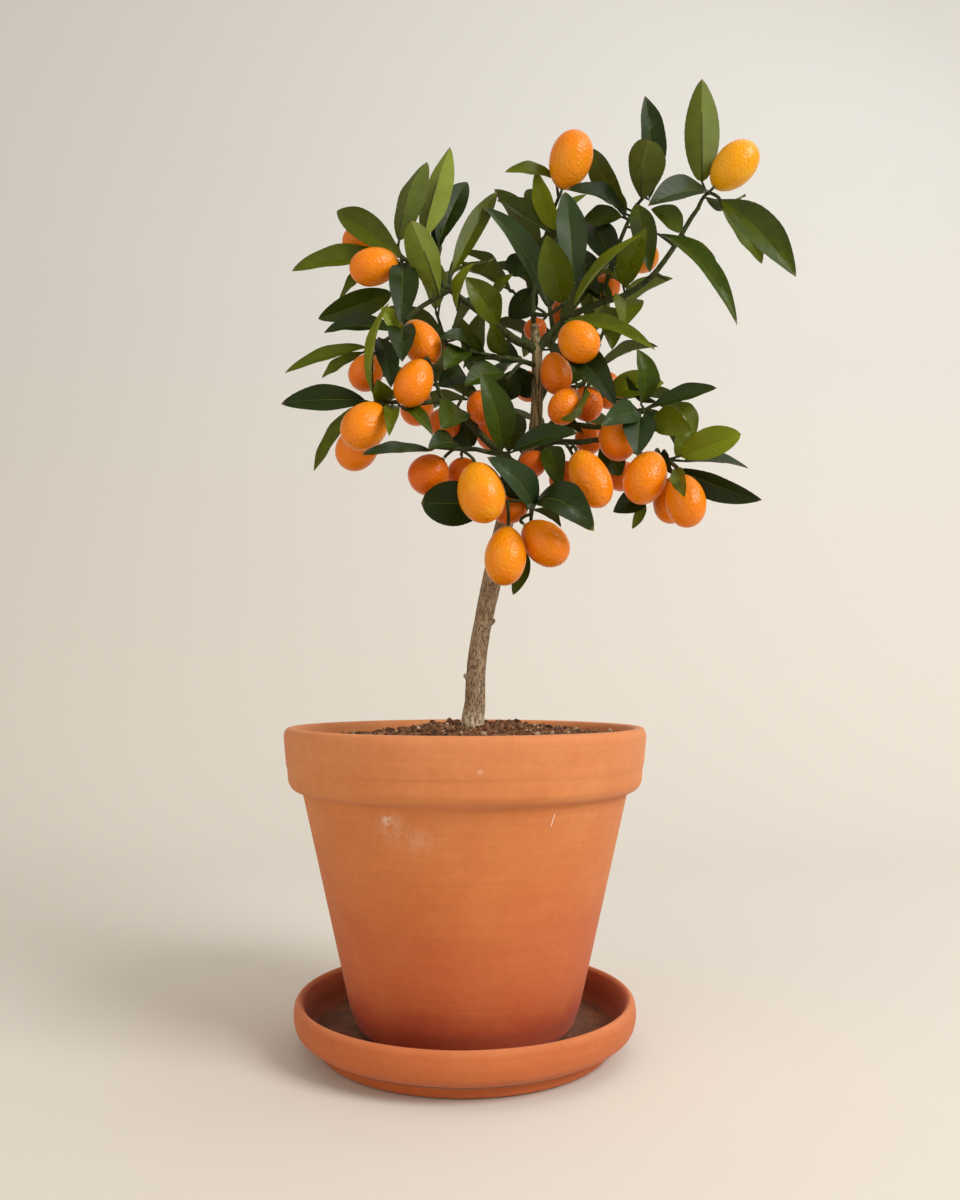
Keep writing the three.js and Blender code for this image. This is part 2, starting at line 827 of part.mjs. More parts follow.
function fruitGeometry({ length, width }) {
  const profile = Array.from({ length: fruitBands + 1 }, (_, k) => {
    const angle = (Math.PI * k) / fruitBands;
    const radius = k === 0 || k === fruitBands ? 0 : (width / 2) * Math.sin(angle) ** 0.9;
    return new THREE.Vector2(radius, (-Math.cos(angle) * length) / 2);
  });
  return new THREE.LatheGeometry(profile, fruitSides);
}

function standFruit(object, { stalkEnd, farEnd, axis }) {
  object.position.copy(stalkEnd).lerp(farEnd, 0.5);
  object.quaternion.setFromUnitVectors(new THREE.Vector3(0, 1, 0), axis);
  object.updateMatrix();
  return object;
}

function placedFruit(fruit) {
  const stand = standFruit(new THREE.Object3D(), fruit);
  return solidOf(fruitGeometry(fruit).applyMatrix4(stand.matrix));
}

// A fruit's stalk, from the limb to the calyx under the end of the fruit
function stalkGeometry(limbs, { stalkEnd, axis }) {
  const neck = stalkEnd.clone().addScaledVector(axis, -calyxHeight);
  const root = nearestOnLimbs(limbs, neck);
  if (root.distanceTo(neck) < 2) {
    root.addScaledVector(axis, -2);
  }
  const away = neck.clone().sub(root).normalize();
  const upright = new THREE.Vector3(0.8, 0.36, 0.48);
  const ring = (middle, heading, radius) => ringRound(middle, heading, upright, radius, stalkSides);
  return loft([
    ring(root, away, stalkRadius),
    ring(neck, away.add(axis).normalize(), stalkRadius),
    ring(stalkEnd.clone().addScaledVector(axis, -gap), axis, calyxRadius),
  ]);
}

// The pot and the saucer, as profiles of radius and height turned round the axis
const potFloor = saucerFloor + gap;
const potTop = saucerFloor + potHeight;
const collarBottom = potTop - collarHeight;
const bodyTopRadius = rimRadius - 11;

function turned(profile) {
  const points = profile.map(([radius, height]) => new THREE.Vector2(radius, height));
  return new THREE.LatheGeometry(points, roundSides).rotateX(Math.PI / 2);
}

function innerWall(height) {
  const low = { radius: potFootRadius - wall + 1, height: potFloor + 11 };
  const high = { radius: rimRadius - lipWidth, height: potTop - 3 };
  const share = (height - low.height) / (high.height - low.height);
  return THREE.MathUtils.lerp(low.radius, high.radius, share);
}

function potGeometry() {
  const innerFloor = potFloor + 11;
  return turned([
    [drainRadius, potFloor], [potFootRadius - 6, potFloor], [potFootRadius, potFloor + 5],
    [potFootRadius + 4.5, potFloor + 17], [bodyTopRadius, collarBottom - 2], [rimRadius - 5, collarBottom],
    [rimRadius - 2.4, collarBottom + 3], [rimRadius - 1.6, collarBottom + 14], [rimRadius, collarBottom + 17],
    [rimRadius, potTop - 3], [rimRadius - 2.2, potTop], [rimRadius - lipWidth + 2, potTop],
    [innerWall(potTop - 3), potTop - 3], [innerWall(innerFloor), innerFloor], [drainRadius, innerFloor],
    [drainRadius, potFloor],
  ]);
}

function saucerGeometry() {
  return turned([
    [0, 0], [saucerFootRadius, 0], [saucerFootRadius + 3, 2], [saucerRadius - 4, 9.5], [saucerRadius - 1, 11.5],
    [saucerRadius, 20], [saucerRadius - 0.6, saucerHeight - 3], [saucerRadius - 3, saucerHeight],
    [saucerRadius - 5.5, saucerHeight - 2], [saucerRadius - 9, 14], [saucerRadius - 13, saucerFloor],
    [0, saucerFloor],
  ]);
}

function soilSurface(x, y) {
  const trunkFoot = sight([473, 727, 0]);
  const away = Math.hypot(x - trunkFoot.x, y - trunkFoot.y) / moundRadius;
  const crumbs = Math.sin(x * 0.31 + 1.2) * Math.sin(y * 0.27) + 0.6 * Math.sin(x * 0.13 - y * 0.21);
  return potTop - soilDrop + moundHeight * Math.exp(-away * away) + x * 0.015 + crumbHeight * crumbs;
}

function soilSolid() {
  const bottom = potFloor + 11 + gap;
  const top = potTop - soilDrop;
  const edge = innerWall(top) - gap - 1;
  const rows = [0.82, 0.62, 0.42, 0.26, 0.12];
  const geometry = turned([
    [0, bottom], [innerWall(bottom) - gap - 1, bottom], [edge, top], ...rows.map((row) => [edge * row, top]), [0, top],
  ]);
  const places = geometry.attributes.position;
  for (let k = 0; k < places.count; k += 1) {
    const [x, y] = [places.getX(k), places.getY(k)];
    if (places.getZ(k) > top - 1) {
      const rim = Math.hypot(x, y) > edge - 1;
      places.setZ(k, rim ? top - 1 : soilSurface(x, y));
    }
  }
  const hole = joined(trunkLimbs.slice(0, 1).map((limb) => limbGeometry(limb, gap)));
  return oneBody(solidOf(geometry).subtract(hole));
}

// The finishes
const finish = (color, roughness) => new THREE.MeshStandardMaterial({ color, roughness, metalness: 0 });
const terracotta = finish(0xc9763f, 0.85);
const peat = finish(0x3a2419, 1);
const bark = finish(0x7d6a52, 0.9);
const leafGreen = finish(0x2c4a1c, 0.4);
const kumquatOrange = finish(0xf08a12, 0.35);

const bonsai = new THREE.Group();

function addPiece(name, geometry, material) {
  const mesh = new THREE.Mesh(geometry, material);
  mesh.name = name;
  bonsai.add(mesh);
  return mesh;
}

addPiece("saucer", saucerGeometry(), terracotta);
addPiece("pot", potGeometry(), terracotta);
addPiece("soil", geometryOf(soilSolid()), peat);

const trunkBody = oneBody(joined(trunkLimbs.map((limb) => limbGeometry(limb))));
addPiece("trunk", geometryOf(trunkBody), bark);

// Limbs, stalks and fruits of every branch come first, because the leaves bend clear of them
const roomFor = { trunk: joined(trunkLimbs.map((limb) => limbGeometry(limb, gap))) };
const obstacles = [obstacle(trunkBody, "trunk")];
for (const branch of branches) {
  branch.fruitPlaces = branch.fruits.map(fruitPlace);
  const limbs = branch.limbs.map((limb) => limbGeometry(limb));
  const stalks = branch.fruitPlaces.map((fruit) => stalkGeometry(branch.limbs, fruit));
  branch.stems = joined([...limbs, ...stalks]);
  roomFor[branch.name] = joined(branch.limbs.map((limb) => limbGeometry(limb, gap)));
  obstacles.push(obstacle(branch.stems, branch.name));
  branch.fruitPlaces.forEach((fruit) => obstacles.push(obstacle(placedFruit(fruit), "fruit")));
}

// One function for each leaf of a branch, which gives the leaf with its tip shifted
function leafPlacers(branch) {
  const byHand = branch.leaves.map((row) => (shift) => handPlacedLeaf(branch.limbs, row, shift));
  const byRule = branch.rule ? ruledLeaves(branch).map((row) => (shift) => ruledLeaf(row, shift)) : [];
  return [...byHand, ...byRule];
}

// A branch's stems with its leaves grown into them, and room left for the limb that it grows from.
// A leaf that finds no clear place is left off.
function branchBody(branch) {
  let body = branch.stems;
  for (const place of leafPlacers(branch)) {
    const leaf = clearLeaf(place, branch.name, obstacles);
    if (leaf) {
      const whole = solidOf(leafGeometry(leaf));
      body = body.add(whole);
      obstacles.push(obstacle(whole, branch.name, solidOf(leafGeometry(leaf, 0, true))));
    }
  }
  return oneBody(body.subtract(roomFor[branch.parent]));
}

for (const branch of branches) {
  addPiece(branch.name, geometryOf(branchBody(branch)), leafGreen);
  branch.fruitPlaces.forEach((fruit, index) => {
    const name = `${branch.name.replace("branch", "kumquat")}_${index + 1}`;
    standFruit(addPiece(name, fruitGeometry(fruit), kumquatOrange), fruit);
  });
}

export default bonsai;
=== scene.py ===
"""Kumquat bonsai in a terracotta pot on its saucer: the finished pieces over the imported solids.

Lengths are in metres unless a name says millimetres. +Z is up and -Y is the front.
"""

import logging
import math
from dataclasses import dataclass, field
from enum import Enum
from typing import Iterator, Sequence

import bpy
import numpy as np
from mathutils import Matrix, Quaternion, Vector, noise


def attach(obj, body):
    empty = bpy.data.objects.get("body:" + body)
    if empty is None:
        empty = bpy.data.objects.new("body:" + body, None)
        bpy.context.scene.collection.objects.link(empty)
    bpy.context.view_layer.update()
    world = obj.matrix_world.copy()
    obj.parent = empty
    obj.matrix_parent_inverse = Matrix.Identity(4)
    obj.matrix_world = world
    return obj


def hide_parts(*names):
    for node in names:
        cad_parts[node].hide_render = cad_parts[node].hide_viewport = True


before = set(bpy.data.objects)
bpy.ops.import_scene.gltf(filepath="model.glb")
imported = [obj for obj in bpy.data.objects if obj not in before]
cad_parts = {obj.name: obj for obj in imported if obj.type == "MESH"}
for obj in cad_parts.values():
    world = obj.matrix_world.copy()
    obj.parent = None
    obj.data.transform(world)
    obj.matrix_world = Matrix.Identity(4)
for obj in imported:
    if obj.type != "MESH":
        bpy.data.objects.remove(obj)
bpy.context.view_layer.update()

LOG = logging.getLogger("kumquat")
MM = 0.001
ROOT = "root"
VECTOR = "FLOAT_VECTOR"
WELD = 0.01 * MM

Color = tuple[float, float, float]
Row = tuple[float, ...]
Stops = Sequence[tuple[float, Color]]
Value = object
Inputs = dict[str | int, Value]

WET_PEAT: Color = (0.02, 0.012, 0.008)


# The view, and the plan of the tree
@dataclass(frozen=True)
class View:
    """The view that the tree was measured in. A place is [picture x, picture y, depth in mm]."""

    eye: Vector = field(default_factory=lambda: Vector((0.009, -0.6439, 0.2189)))
    focal_length: float = 1039.93
    middle: tuple[float, float] = (480.0, 600.0)
    picture_height: float = 1200.0
    look_up: float = 0.0744

    def place(self, x: float, y: float, depth: float) -> Vector:
        """Gives the point in space that is seen at a place of the picture.

        Args:
            x: picture points to the right.
            y: picture points down.
            depth: millimetres behind the trunk.

        Returns:
            The point, in metres.
        """
        across = (x - self.middle[0]) / self.focal_length
        above = (self.middle[1] - y) / self.focal_length
        forward = math.cos(self.look_up) - above * math.sin(self.look_up)
        rise = math.sin(self.look_up) + above * math.cos(self.look_up)
        reach = (depth * MM - self.eye.y) / forward
        return Vector((self.eye.x + reach * across, depth * MM, self.eye.z + reach * rise))

    def make_camera(self) -> None:
        """Stands the camera at the eye and makes it the scene's camera."""
        data = bpy.data.cameras.new("camera")
        data.sensor_width = 36.0
        data.lens = data.sensor_width * self.focal_length / self.picture_height
        data.clip_start, data.clip_end = 0.01, 20.0
        camera = in_scene("camera", data)
        camera.location = self.eye
        camera.rotation_euler = (math.pi / 2 + self.look_up, 0.0, 0.0)
        bpy.context.scene.camera = camera


VIEW = View()


class Tone(Enum):
    """A leaf's colour: its letter, its share from the darkest to the lightest, and its share of blue-grey
    painted reflection. The tones follow how bright each leaf looks, so the darkest one also paints the
    shade that falls on a leaf.
    """

    # Dark leaves, and also painted shade on leaves that shade falls on
    DARK = ("d", 0.0, 0.0)
    GREEN = ("g", 0.38, 0.0)
    OLIVE = ("o", 0.62, 0.0)
    PALE = ("p", 1.0, 0.0)
    # A blue-grey painted reflection of the sky on glossy leaves
    BLUE = ("b", 0.3, 0.6)

    @classmethod
    def of(cls, letter: str) -> "Tone":
        """Reads one letter."""
        return next(tone for tone in cls if tone.value[0] == letter)


@dataclass(frozen=True)
class Limb:
    """A route of places and the limb's radius in mm at evenly spaced places along it."""

    route: tuple[Row, ...]
    radii: tuple[float, ...]


@dataclass(frozen=True)
class Branch:
    """One grown piece.

    A leaf is (base x, y, depth, tip x, y, depth, width mm, turn degrees, bow mm), and its tone is
    a letter of tones. A fruit is (stalk end x, y, depth, far end x, y, depth, width mm), and its
    ripeness is one of ripe, from 0 for yellow to 1 for deep orange. A rule places leaves along the
    limbs instead: (leaves, start, seed). Outlines gives some leaves a form of their own, by their
    place in the list: (where they are widest, how pointed they are). Fillers are small leaves that
    the solids leave out.
    """

    name: str
    limbs: tuple[Limb, ...]
    leaves: tuple[Row, ...] = ()
    tones: str = ""
    fruits: tuple[Row, ...] = ()
    ripe: tuple[float, ...] = ()
    rule: tuple[int, float, int] | None = None
    outlines: dict[int, tuple[float, float]] = field(default_factory=dict)
    fillers: tuple[Row, ...] = ()


TRUNK = (
    Limb(((475, 800, 0), (473, 727, 0), (475, 702, 0), (475.5, 680, -1), (478, 652, 0), (483.5, 620, 1),
          (490.5, 587, 3), (499, 545, 6), (511, 500, 9), (524, 465, 10), (534, 438, 10), (537, 400, 8),
          (537, 370, 6), (537, 350, 5), (534, 326, 10)),
         (7.6, 7.2, 6.4, 6.0, 5.8, 5.6, 6.1, 5.7, 5.4, 4.9, 4.3, 3.7, 3.4, 3.3, 2.6)),
    Limb(((537, 352, 5), (527, 345, 3), (515, 340, 0), (502, 330, -4)), (2.9, 2.6)),
    Limb(((537, 352, 5), (544, 341, 6), (552, 333, 7), (561, 324, 8)), (3.0, 2.6)),
    Limb(((473, 679, -1), (468, 677, -3), (464, 675, -4)), (4.2, 0.8)),
    Limb(((483, 624, 0), (490, 622, -2), (495, 620, -3)), (4.2, 1.0)),
    Limb(((489, 596, 2), (485, 594, -3)), (3.8, 2.6)),
)

BRANCHES = (
    Branch(
        "upper_left",
        (Limb(((503, 331, -4), (490, 320, -8), (470, 305, -14), (450, 290, -20), (430, 275, -24),
               (413, 264, -27), (401, 256, -29), (397, 245, -30)), (2.4, 1.2)),
         Limb(((452, 291, -20), (450, 278, -12), (452, 266, -4), (456, 256, 3)), (1.5, 1)),
         Limb(((430, 275, -24), (436, 262, -20), (440, 250, -15), (440, 241, -12)), (1.5, 1)),
         Limb(((490, 320, -8), (494, 308, -3), (496, 297, 3)), (1.4, 1))),
        ((402, 259, -33, 337, 211, -46, 18, -15),
         (399, 241, -32, 427, 162, -30, 19, -145, -7),
         (439, 296, -30, 411, 221, -56, 20, 165, -4),
         (402, 262, -34, 401, 326, -58, 18, 8),
         (438, 244, -16, 467, 182, 0, 17, 15),
         (423, 238, -26, 450, 147, -14, 19, -155, -3),
         (388, 259, -26, 292, 271, -32, 17, -45, 4),
         (452, 275, -8, 497, 192, 12, 14, 20, 3),
         (392, 293, -24, 318, 319, -20, 17, 0, 2),
         (460, 262, -2, 495, 257, 18, 9, -60, 3),
         (498, 325, -12, 465, 277, -30, 19, -20),
         (457, 310, -20, 474, 263, -34, 13, 65),
         (494, 296, 0, 513, 274, -18, 8, 30),
         (386, 264, -22, 339, 303, -12, 13, -60),
         (437, 250, -16, 441, 213, 4, 12, 0)),
        "ogoddpoogoopood",
        ((384, 241, -8, 343, 242, -18, 21), (398, 261, -38, 350, 272, -44, 22)),
        ripe=(0.55, 0.5),
        outlines={2: (1.3, 0.62)}),
    Branch(
        "left",
        (Limb(((450, 290, -20), (434, 299, -25), (414, 312, -31), (400, 326, -36), (389, 338, -38),
               (376, 344, -36), (367, 347, -32)), (1.6, 1)),),
        ((366, 347, -30, 285, 373, -40, 11, -45, 2.5),
         (397, 331, -34, 324, 333, -22, 14, -45, 5),
         (402, 325, -43, 402, 362, -74, 16, 0),
         (379, 338, -42, 391, 388, -60, 14, 20),
         (364, 352, -28, 322, 378, -14, 8, -30, 3),
         (401, 333, -50, 381, 307, -58, 11, -20)),
        "odddop",
        ((410, 324, -38, 432, 361, -50, 22), (374, 356, -36, 358, 389, -40, 20)),
        ripe=(0.55, 0.7)),
    Branch(
        "lower_left",
        (Limb(((523, 468, 10), (506, 458, -4), (486, 440, -18), (468, 421, -30), (455, 408, -38),
               (443, 401, -42), (420, 403, -46), (400, 402, -47), (380, 403, -46), (366, 403, -44)),
              (2.6, 1)),
         Limb(((443, 401, -42), (437, 386, -45), (432, 370, -50)), (1.3, 0.9)),
         Limb(((380, 403, -46), (377, 414, -40), (374, 424, -35)), (1.1, 0.9))),
        ((374, 396, -50, 389, 303, -62, 13, 72),
         (366, 401, -46, 281, 404, -56, 16, -20),
         (458, 410, -41, 441, 430, -66, 19, -10),
         (399, 406, -50, 433, 436, -64, 10, 35, 5),
         (354, 407, -36, 314, 471, -6, 10, -40, 1.5),
         (392, 406, -50, 389, 436, -68, 9, 0),
         (386, 402, -48, 377, 379, -62, 12, 0),
         (508, 452, 6, 519, 414, 18, 17, 10)),
        "pdggooog",
        ((380, 409, -56, 350, 443, -74, 25),
         (373, 429, -34, 343, 466, -42, 24),
         (424, 362, -56, 404, 404, -66, 21.5),
         (452, 412, -24, 438, 434, -12, 20),
         (474, 392, -36, 492, 422, -34, 20),
         (500, 450, 4, 484, 420, 8, 20)),
        ripe=(0.4, 0.55, 0.55, 0.9, 0.9, 1.0),
        fillers=((438, 386, -30, 461, 372, -10, 14, 10), (452, 408, -20, 474, 446, -8, 18, 0),
                 (470, 424, -16, 452, 446, -2, 16, 20))),
    Branch(
        "centre_left",
        (Limb(((537, 366, 6), (522, 361, -6), (508, 358, -18), (494, 356, -28), (480, 353, -36),
               (469, 350, -41)), (1.8, 1)),
         Limb(((522, 361, -6), (514, 371, -14), (505, 380, -20)), (1.2, 0.9))),
        ((503, 373, -23, 464, 386, -44, 17, -35),
         (500, 360, -26, 463, 368, -44, 12, -75),
         (469, 350, -43, 440, 339, -58, 13, -60, 4),
         (466, 352, -43, 444, 370, -62, 15, -30),
         (484, 352, -34, 462, 318, -44, 14, 40),
         (505, 355, -20, 492, 322, -36, 13, 20)),
        "gddggo",
        fillers=((513, 370, -6, 501, 402, 4, 17, 10), (520, 362, 4, 500, 346, 16, 15, 10),
                 (516, 366, 2, 530, 398, 16, 15, 10))),
    Branch(
        "front_left",
        (Limb(((503, 455, -6), (488, 452, -28), (474, 449, -44), (460, 449, -52), (445, 448, -58),
               (433, 447, -62)), (1.7, 1)),
         Limb(((488, 452, -28), (498, 453, -40), (508, 453, -47)), (1.2, 0.9))),
        ((502, 450, -42, 481, 372, -62, 19, -20, 7),
         (512, 452, -50, 578, 433, -60, 15, 40),
         (431, 450, -62, 362, 455, -82, 12, -60, 0.5),
         (456, 444, -54, 428, 449, -74, 15, -40)),
        "gddd",
        ((475, 465, -62, 487, 520, -78, 26.5),
         (443, 459, -46, 415, 490, -40, 24),
         (462, 458, -30, 464, 488, -20, 20)),
        ripe=(0.3, 0.9, 1.0)),
    Branch(
        "front_low",
        (Limb(((521, 480, 10), (525, 486, -12), (529, 492, -32), (531, 503, -46), (532, 515, -50)),
              (1.8, 1)),
         Limb(((531, 502, -46), (531, 520, -38), (529, 537, -34), (528, 551, -34)), (1.2, 0.9)),
         Limb(((531, 500, -44), (512, 501, -47), (494, 502, -46)), (1.1, 0.9))),
        ((533, 511, -50, 487, 457, -72, 18, -30, 9),
         (534, 503, -50, 594, 531, -64, 22, 28, 15),
         (488, 504, -46, 421, 503, -74, 26, 0, 2),
         (526, 553, -34, 513, 595, -36, 10, 10, 1),
         (534, 509, -48, 561, 527, -36, 11, 115, 1)),
        "bddgd",
        ((508, 527, -56, 503, 585, -62, 23.5),
         (525, 525, -49, 565, 561, -54, 24),
         (527, 508, -38, 492, 507, -28, 20),
         (536, 477, -16, 530, 451, -22, 17)),
        ripe=(0.35, 0.5, 0.8, 1.0),
        outlines={1: (1.05, 0.62), 2: (1.25, 0.5)},
        fillers=((530, 506, -38, 502, 464, -52, 11, 50),)),
    Branch(
        "top",
        (Limb(((534, 328, 10), (533, 312, 12), (533, 298, 14), (536, 268, 16), (545, 238, 14),
               (553, 212, 8), (560, 194, 1)), (1.9, 1)),
         Limb(((533, 314, 12), (546, 315, -4), (556, 310, -14), (565, 302, -20), (572, 290, -22)),
              (1.4, 1))),
        ((562, 303, -24, 547, 235, -50, 21, 0),
         (573, 286, -24, 565, 192, -18, 19, -12),
         (549, 306, -10, 483, 207, 4, 17, -35, 10),
         (557, 230, 10, 536, 170, -4, 14, 20),
         (552, 234, 12, 497, 200, 18, 15, -40),
         (555, 178, 0, 505, 172, -8, 13, -55, 2),
         (548, 222, 14, 526, 190, 24, 12, 0),
         (534, 268, 18, 505, 263, 26, 15, 0)),
        "obbpgogd",
        ((562, 189, -6, 579, 131, -12, 27), (543, 320, 25, 528, 338, 26, 15)),
        ripe=(0.42, 1.0),
        fillers=((536, 288, 18, 509, 318, 26, 18, 10),)),
    Branch(
        "right",
        (Limb(((560, 325, 8), (570, 316, 8), (600, 303, 4), (625, 295, 0), (650, 278, -5),
               (672, 250, -10), (690, 220, -14), (699, 207, -16)), (2.5, 1.3)),
         Limb(((602, 302, 4), (607, 280, 10), (616, 252, 14), (628, 222, 12), (638, 204, 8),
               (646, 195, 4)), (1.6, 1)),
         Limb(((570, 316, 8), (569, 322, -6), (566, 327, -18), (566, 330, -26)), (1.4, 1)),
         Limb(((570, 316, 8), (560, 332, 2), (553, 342, -2)), (1.3, 1)),
         Limb(((655, 273, -6), (662, 277, -7), (668, 280, -8)), (1.3, 0.8))),
        ((554, 345, -8, 617, 408, -46, 20, 30, 10),
         (564, 322, -14, 655, 350, -42, 13, 45, 7),
         (658, 234, -14, 737, 325, -34, 14, 40, 12),
         (642, 200, 2, 648, 140, -30, 25, -160, -5),
         (649, 200, 4, 645, 96, 14, 18, -25, 6),
         (626, 218, 8, 567, 190, -10, 17, -55, 6),
         (623, 286, -4, 646, 228, -28, 17, 15),
         (574, 307, -2, 642, 235, -30, 15, 70, 4),
         (636, 204, -2, 650, 273, -16, 16, 10),
         (626, 300, -4, 624, 327, -32, 19, 10),
         (606, 307, 0, 612, 350, -20, 17, 20),
         (684, 236, -10, 714, 286, 4, 13, 40),
         (682, 231, -14, 651, 209, -30, 15, -30),
         (626, 208, 12, 592, 149, 20, 17, 20),
         (626, 214, 14, 588, 185, 26, 13, -60),
         (622, 217, 14, 583, 221, 28, 15, -30, 1),
         (612, 300, 4, 580, 289, 18, 14, -60),
         (631, 293, 2, 598, 272, 12, 11, -70),
         (616, 268, 10, 590, 222, 26, 20, -10)),
        "doggddopgooogooggod",
        ((567, 331, -30, 590, 352, -50, 24),
         (552, 354, -4, 560, 393, -12, 20),
         (640, 238, 16, 645, 273, 22, 21),
         (612, 277, 20, 602, 297, 40, 18)),
        ripe=(0.4, 0.7, 0.4, 0.8),
        outlines={3: (1.5, 0.5)},
        fillers=((581, 302, 8, 586, 250, 22, 16, -10), (600, 300, 6, 577, 268, 20, 12, -10))),
    Branch(
        "top_right",
        (Limb(((698, 208, -16), (703, 198, -17), (709, 193, -19), (718, 197, -21), (722, 204, -20)),
              (1.3, 0.9)),),
        ((702, 182, -18, 702, 79, -10, 22, 180, -5),
         (720, 200, -23, 796, 277, -36, 22, 24, 8),
         (708, 191, -20, 648, 206, -44, 20, -45, 4),
         (722, 207, -19, 762, 264, -6, 16, 30),
         (706, 198, -12, 745, 194, 8, 13, -60)),
        "ogdog",
        ((714, 187, -23, 754, 145, -27, 25),),
        ripe=(0.08,),
        outlines={0: (0.92, 0.66)}),
    Branch(
        "inner_right",
        (Limb(((537, 388, 8), (556, 389, 13), (574, 387, 2), (583, 383, -12), (588, 380, -20),
               (598, 388, -20)), (1.8, 1)),),
        ((606, 392, -20, 664, 383, -32, 17, 20),
         (582, 378, -16, 612, 390, 4, 13, 30),
         (562, 387, 14, 590, 352, 34, 16, 0),
         (585, 389, -34, 560, 419, -58, 12, 80)),
        "ppgo",
        ((574, 391, -26, 556, 421, -36, 19), (588, 387, -5, 586, 420, -9, 20)),
        ripe=(0.6, 0.9)),
    Branch(
        "lower_right",
        (Limb(((535, 436, 10), (547, 427, 0), (560, 424, -8), (578, 425, -16), (600, 427, -24),
               (620, 421, -30), (638, 414, -34), (650, 407, -36), (660, 400, -38)), (2.2, 1)),),
        ((640, 417, -40, 637, 456, -60, 19, 0),
         (653, 417, -39, 692, 431, -58, 17, 5),
         (652, 407, -38, 717, 388, -52, 13, 45, 1),
         (641, 404, -36, 637, 349, -46, 15, -35, 6),
         (637, 412, -38, 601, 426, -56, 16, -20),
         (662, 406, -34, 694, 440, -36, 14, 50, 8),
         (550, 427, -6, 583, 434, -26, 12, 60),
         (644, 413, -38, 658, 432, -50, 11, 20)),
        "bodgbodd",
        ((607, 425, -32, 626, 457, -42, 21), (578, 430, -4, 601, 447, 2, 20)),
        ripe=(0.6, 0.95),
        fillers=((655, 402, -34, 626, 375, -30, 9, 50),)),
    Branch(
        "low_right",
        (Limb(((528, 458, 10), (550, 443, -6), (566, 442, -14), (582, 442, -20), (600, 440, -20),
               (618, 446, -19), (638, 453, -28), (655, 457, -38), (672, 461, -46)), (2.2, 1)),
         Limb(((566, 442, -14), (567, 446, -28), (571, 449, -42)), (1.1, 0.9)),
         Limb(((638, 453, -28), (642, 468, -30), (645, 484, -34), (648, 494, -36)), (1.1, 0.9))),
        ((679, 469, -50, 762, 500, -62, 16, -25, 3),
         (680, 456, -49, 741, 434, -64, 18, 10),
         (676, 468, -52, 685, 497, -84, 9, -10, 1),
         (647, 490, -36, 613, 512, -50, 15, 5),
         (643, 499, -36, 632, 529, -46, 7, 20),
         (550, 447, -14, 561, 490, -38, 15, 0),
         (684, 461, -44, 748, 468, -36, 14, 65, 2),
         (676, 457, -46, 691, 431, -38, 14, -10),
         (601, 446, -22, 621, 476, -22, 17, 10)),
        "dpodogdog",
        ((577, 452, -48, 603, 506, -58, 23),
         (655, 454, -48, 636, 501, -60, 24),
         (681, 476, -60, 690, 526, -70, 22.5),
         (672, 478, -30, 670, 523, -35, 21),
         (572, 464, -20, 560, 492, -28, 20),
         (620, 462, -2, 624, 490, -6, 20)),
        ripe=(0.45, 0.5, 0.55, 0.6, 0.9, 0.9),
        outlines={1: (1.15, 0.6)},
        fillers=((672, 474, -48, 664, 449, -40, 7, 30),)),
    Branch(
        "back_left",
        (Limb(((527, 455, 12), (502, 425, 30), (474, 392, 46), (450, 352, 60), (436, 312, 70)),
              (2.6, 1)),
         Limb(((474, 392, 46), (446, 386, 40), (420, 384, 30)), (1.4, 1))),
        rule=(13, 0.24, 47),
        fruits=((446, 340, 72, 430, 368, 80, 22), (420, 388, 34, 414, 426, 38, 22))),
    Branch(
        "back_middle",
        (Limb(((538, 404, 10), (550, 374, 32), (553, 336, 54), (548, 296, 72), (544, 256, 80)),
              (2.4, 1)),
         Limb(((553, 336, 54), (530, 312, 50), (512, 290, 42)), (1.4, 1))),
        rule=(13, 0.32, 69),
        fruits=((538, 378, 36, 518, 394, 30, 21), (558, 300, 78, 572, 332, 90, 22))),
    Branch(
        "back_right",
        (Limb(((531, 448, 14), (555, 420, 33), (580, 390, 48), (594, 354, 58), (612, 312, 62)),
              (2.6, 1)),
         Limb(((580, 390, 48), (606, 396, 42), (630, 402, 30)), (1.4, 1))),
        rule=(12, 0.1, 19),
        fruits=((602, 372, 58, 614, 408, 70, 22),)),
)


class Path:
    """A smooth curve through points, the same as the one that the solids follow."""

    def __init__(self, points: Sequence[Vector]) -> None:
        """Keeps the points.

        Args:
            points: the points that the curve passes through.
        """
        self.points = list(points)

    @classmethod
    def of(cls, route: Sequence[Row]) -> "Path":
        """A path through the places of a route."""
        return cls([VIEW.place(*place) for place in route])

    def at(self, share: float) -> Vector:
        """Gives the point at a share of the way, from 0 to 1, counted in route points."""
        last = len(self.points) - 1
        index = min(int(share * last), last - 1)
        weight = share * last - index
        here, there = self.points[index], self.points[index + 1]
        before = self.points[index - 1] if index > 0 else here * 2 - there
        after = self.points[index + 2] if index + 2 <= last else there * 2 - here
        start, end = (there - before) * 0.5, (after - here) * 0.5
        square, cube = weight ** 2, weight ** 3
        return (here * (2 * cube - 3 * square + 1) + there * (3 * square - 2 * cube)
                + start * (cube - 2 * square + weight) + end * (cube - square))

    def heading(self, share: float) -> Vector:
        """Gives the unit direction of travel at a share of the way."""
        step = 0.001
        return (self.at(min(share + step, 1.0)) - self.at(max(share - step, 0.0))).normalized()

    def sample(self, count: int) -> list[Vector]:
        """Gives count + 1 points along the path."""
        return [self.at(k / count) for k in range(count + 1)]

    def length(self) -> float:
        """Gives the length of the path."""
        points = self.sample(200)
        return sum((b - a).length for a, b in zip(points, points[1:]))


def radius_at(radii: Sequence[float], share: float) -> float:
    """Reads a radius in mm from evenly spaced ones, and gives it in metres."""
    place = share * (len(radii) - 1)
    index = min(int(place), len(radii) - 2)
    return MM * (radii[index] + (radii[index + 1] - radii[index]) * (place - index))


def draws(seed: int) -> Iterator[float]:
    """Gives a repeatable run of draws between 0 and 1."""
    factor, modulus = 16807, 2147483647
    state = seed
    while True:
        state = state * factor % modulus
        yield state / modulus


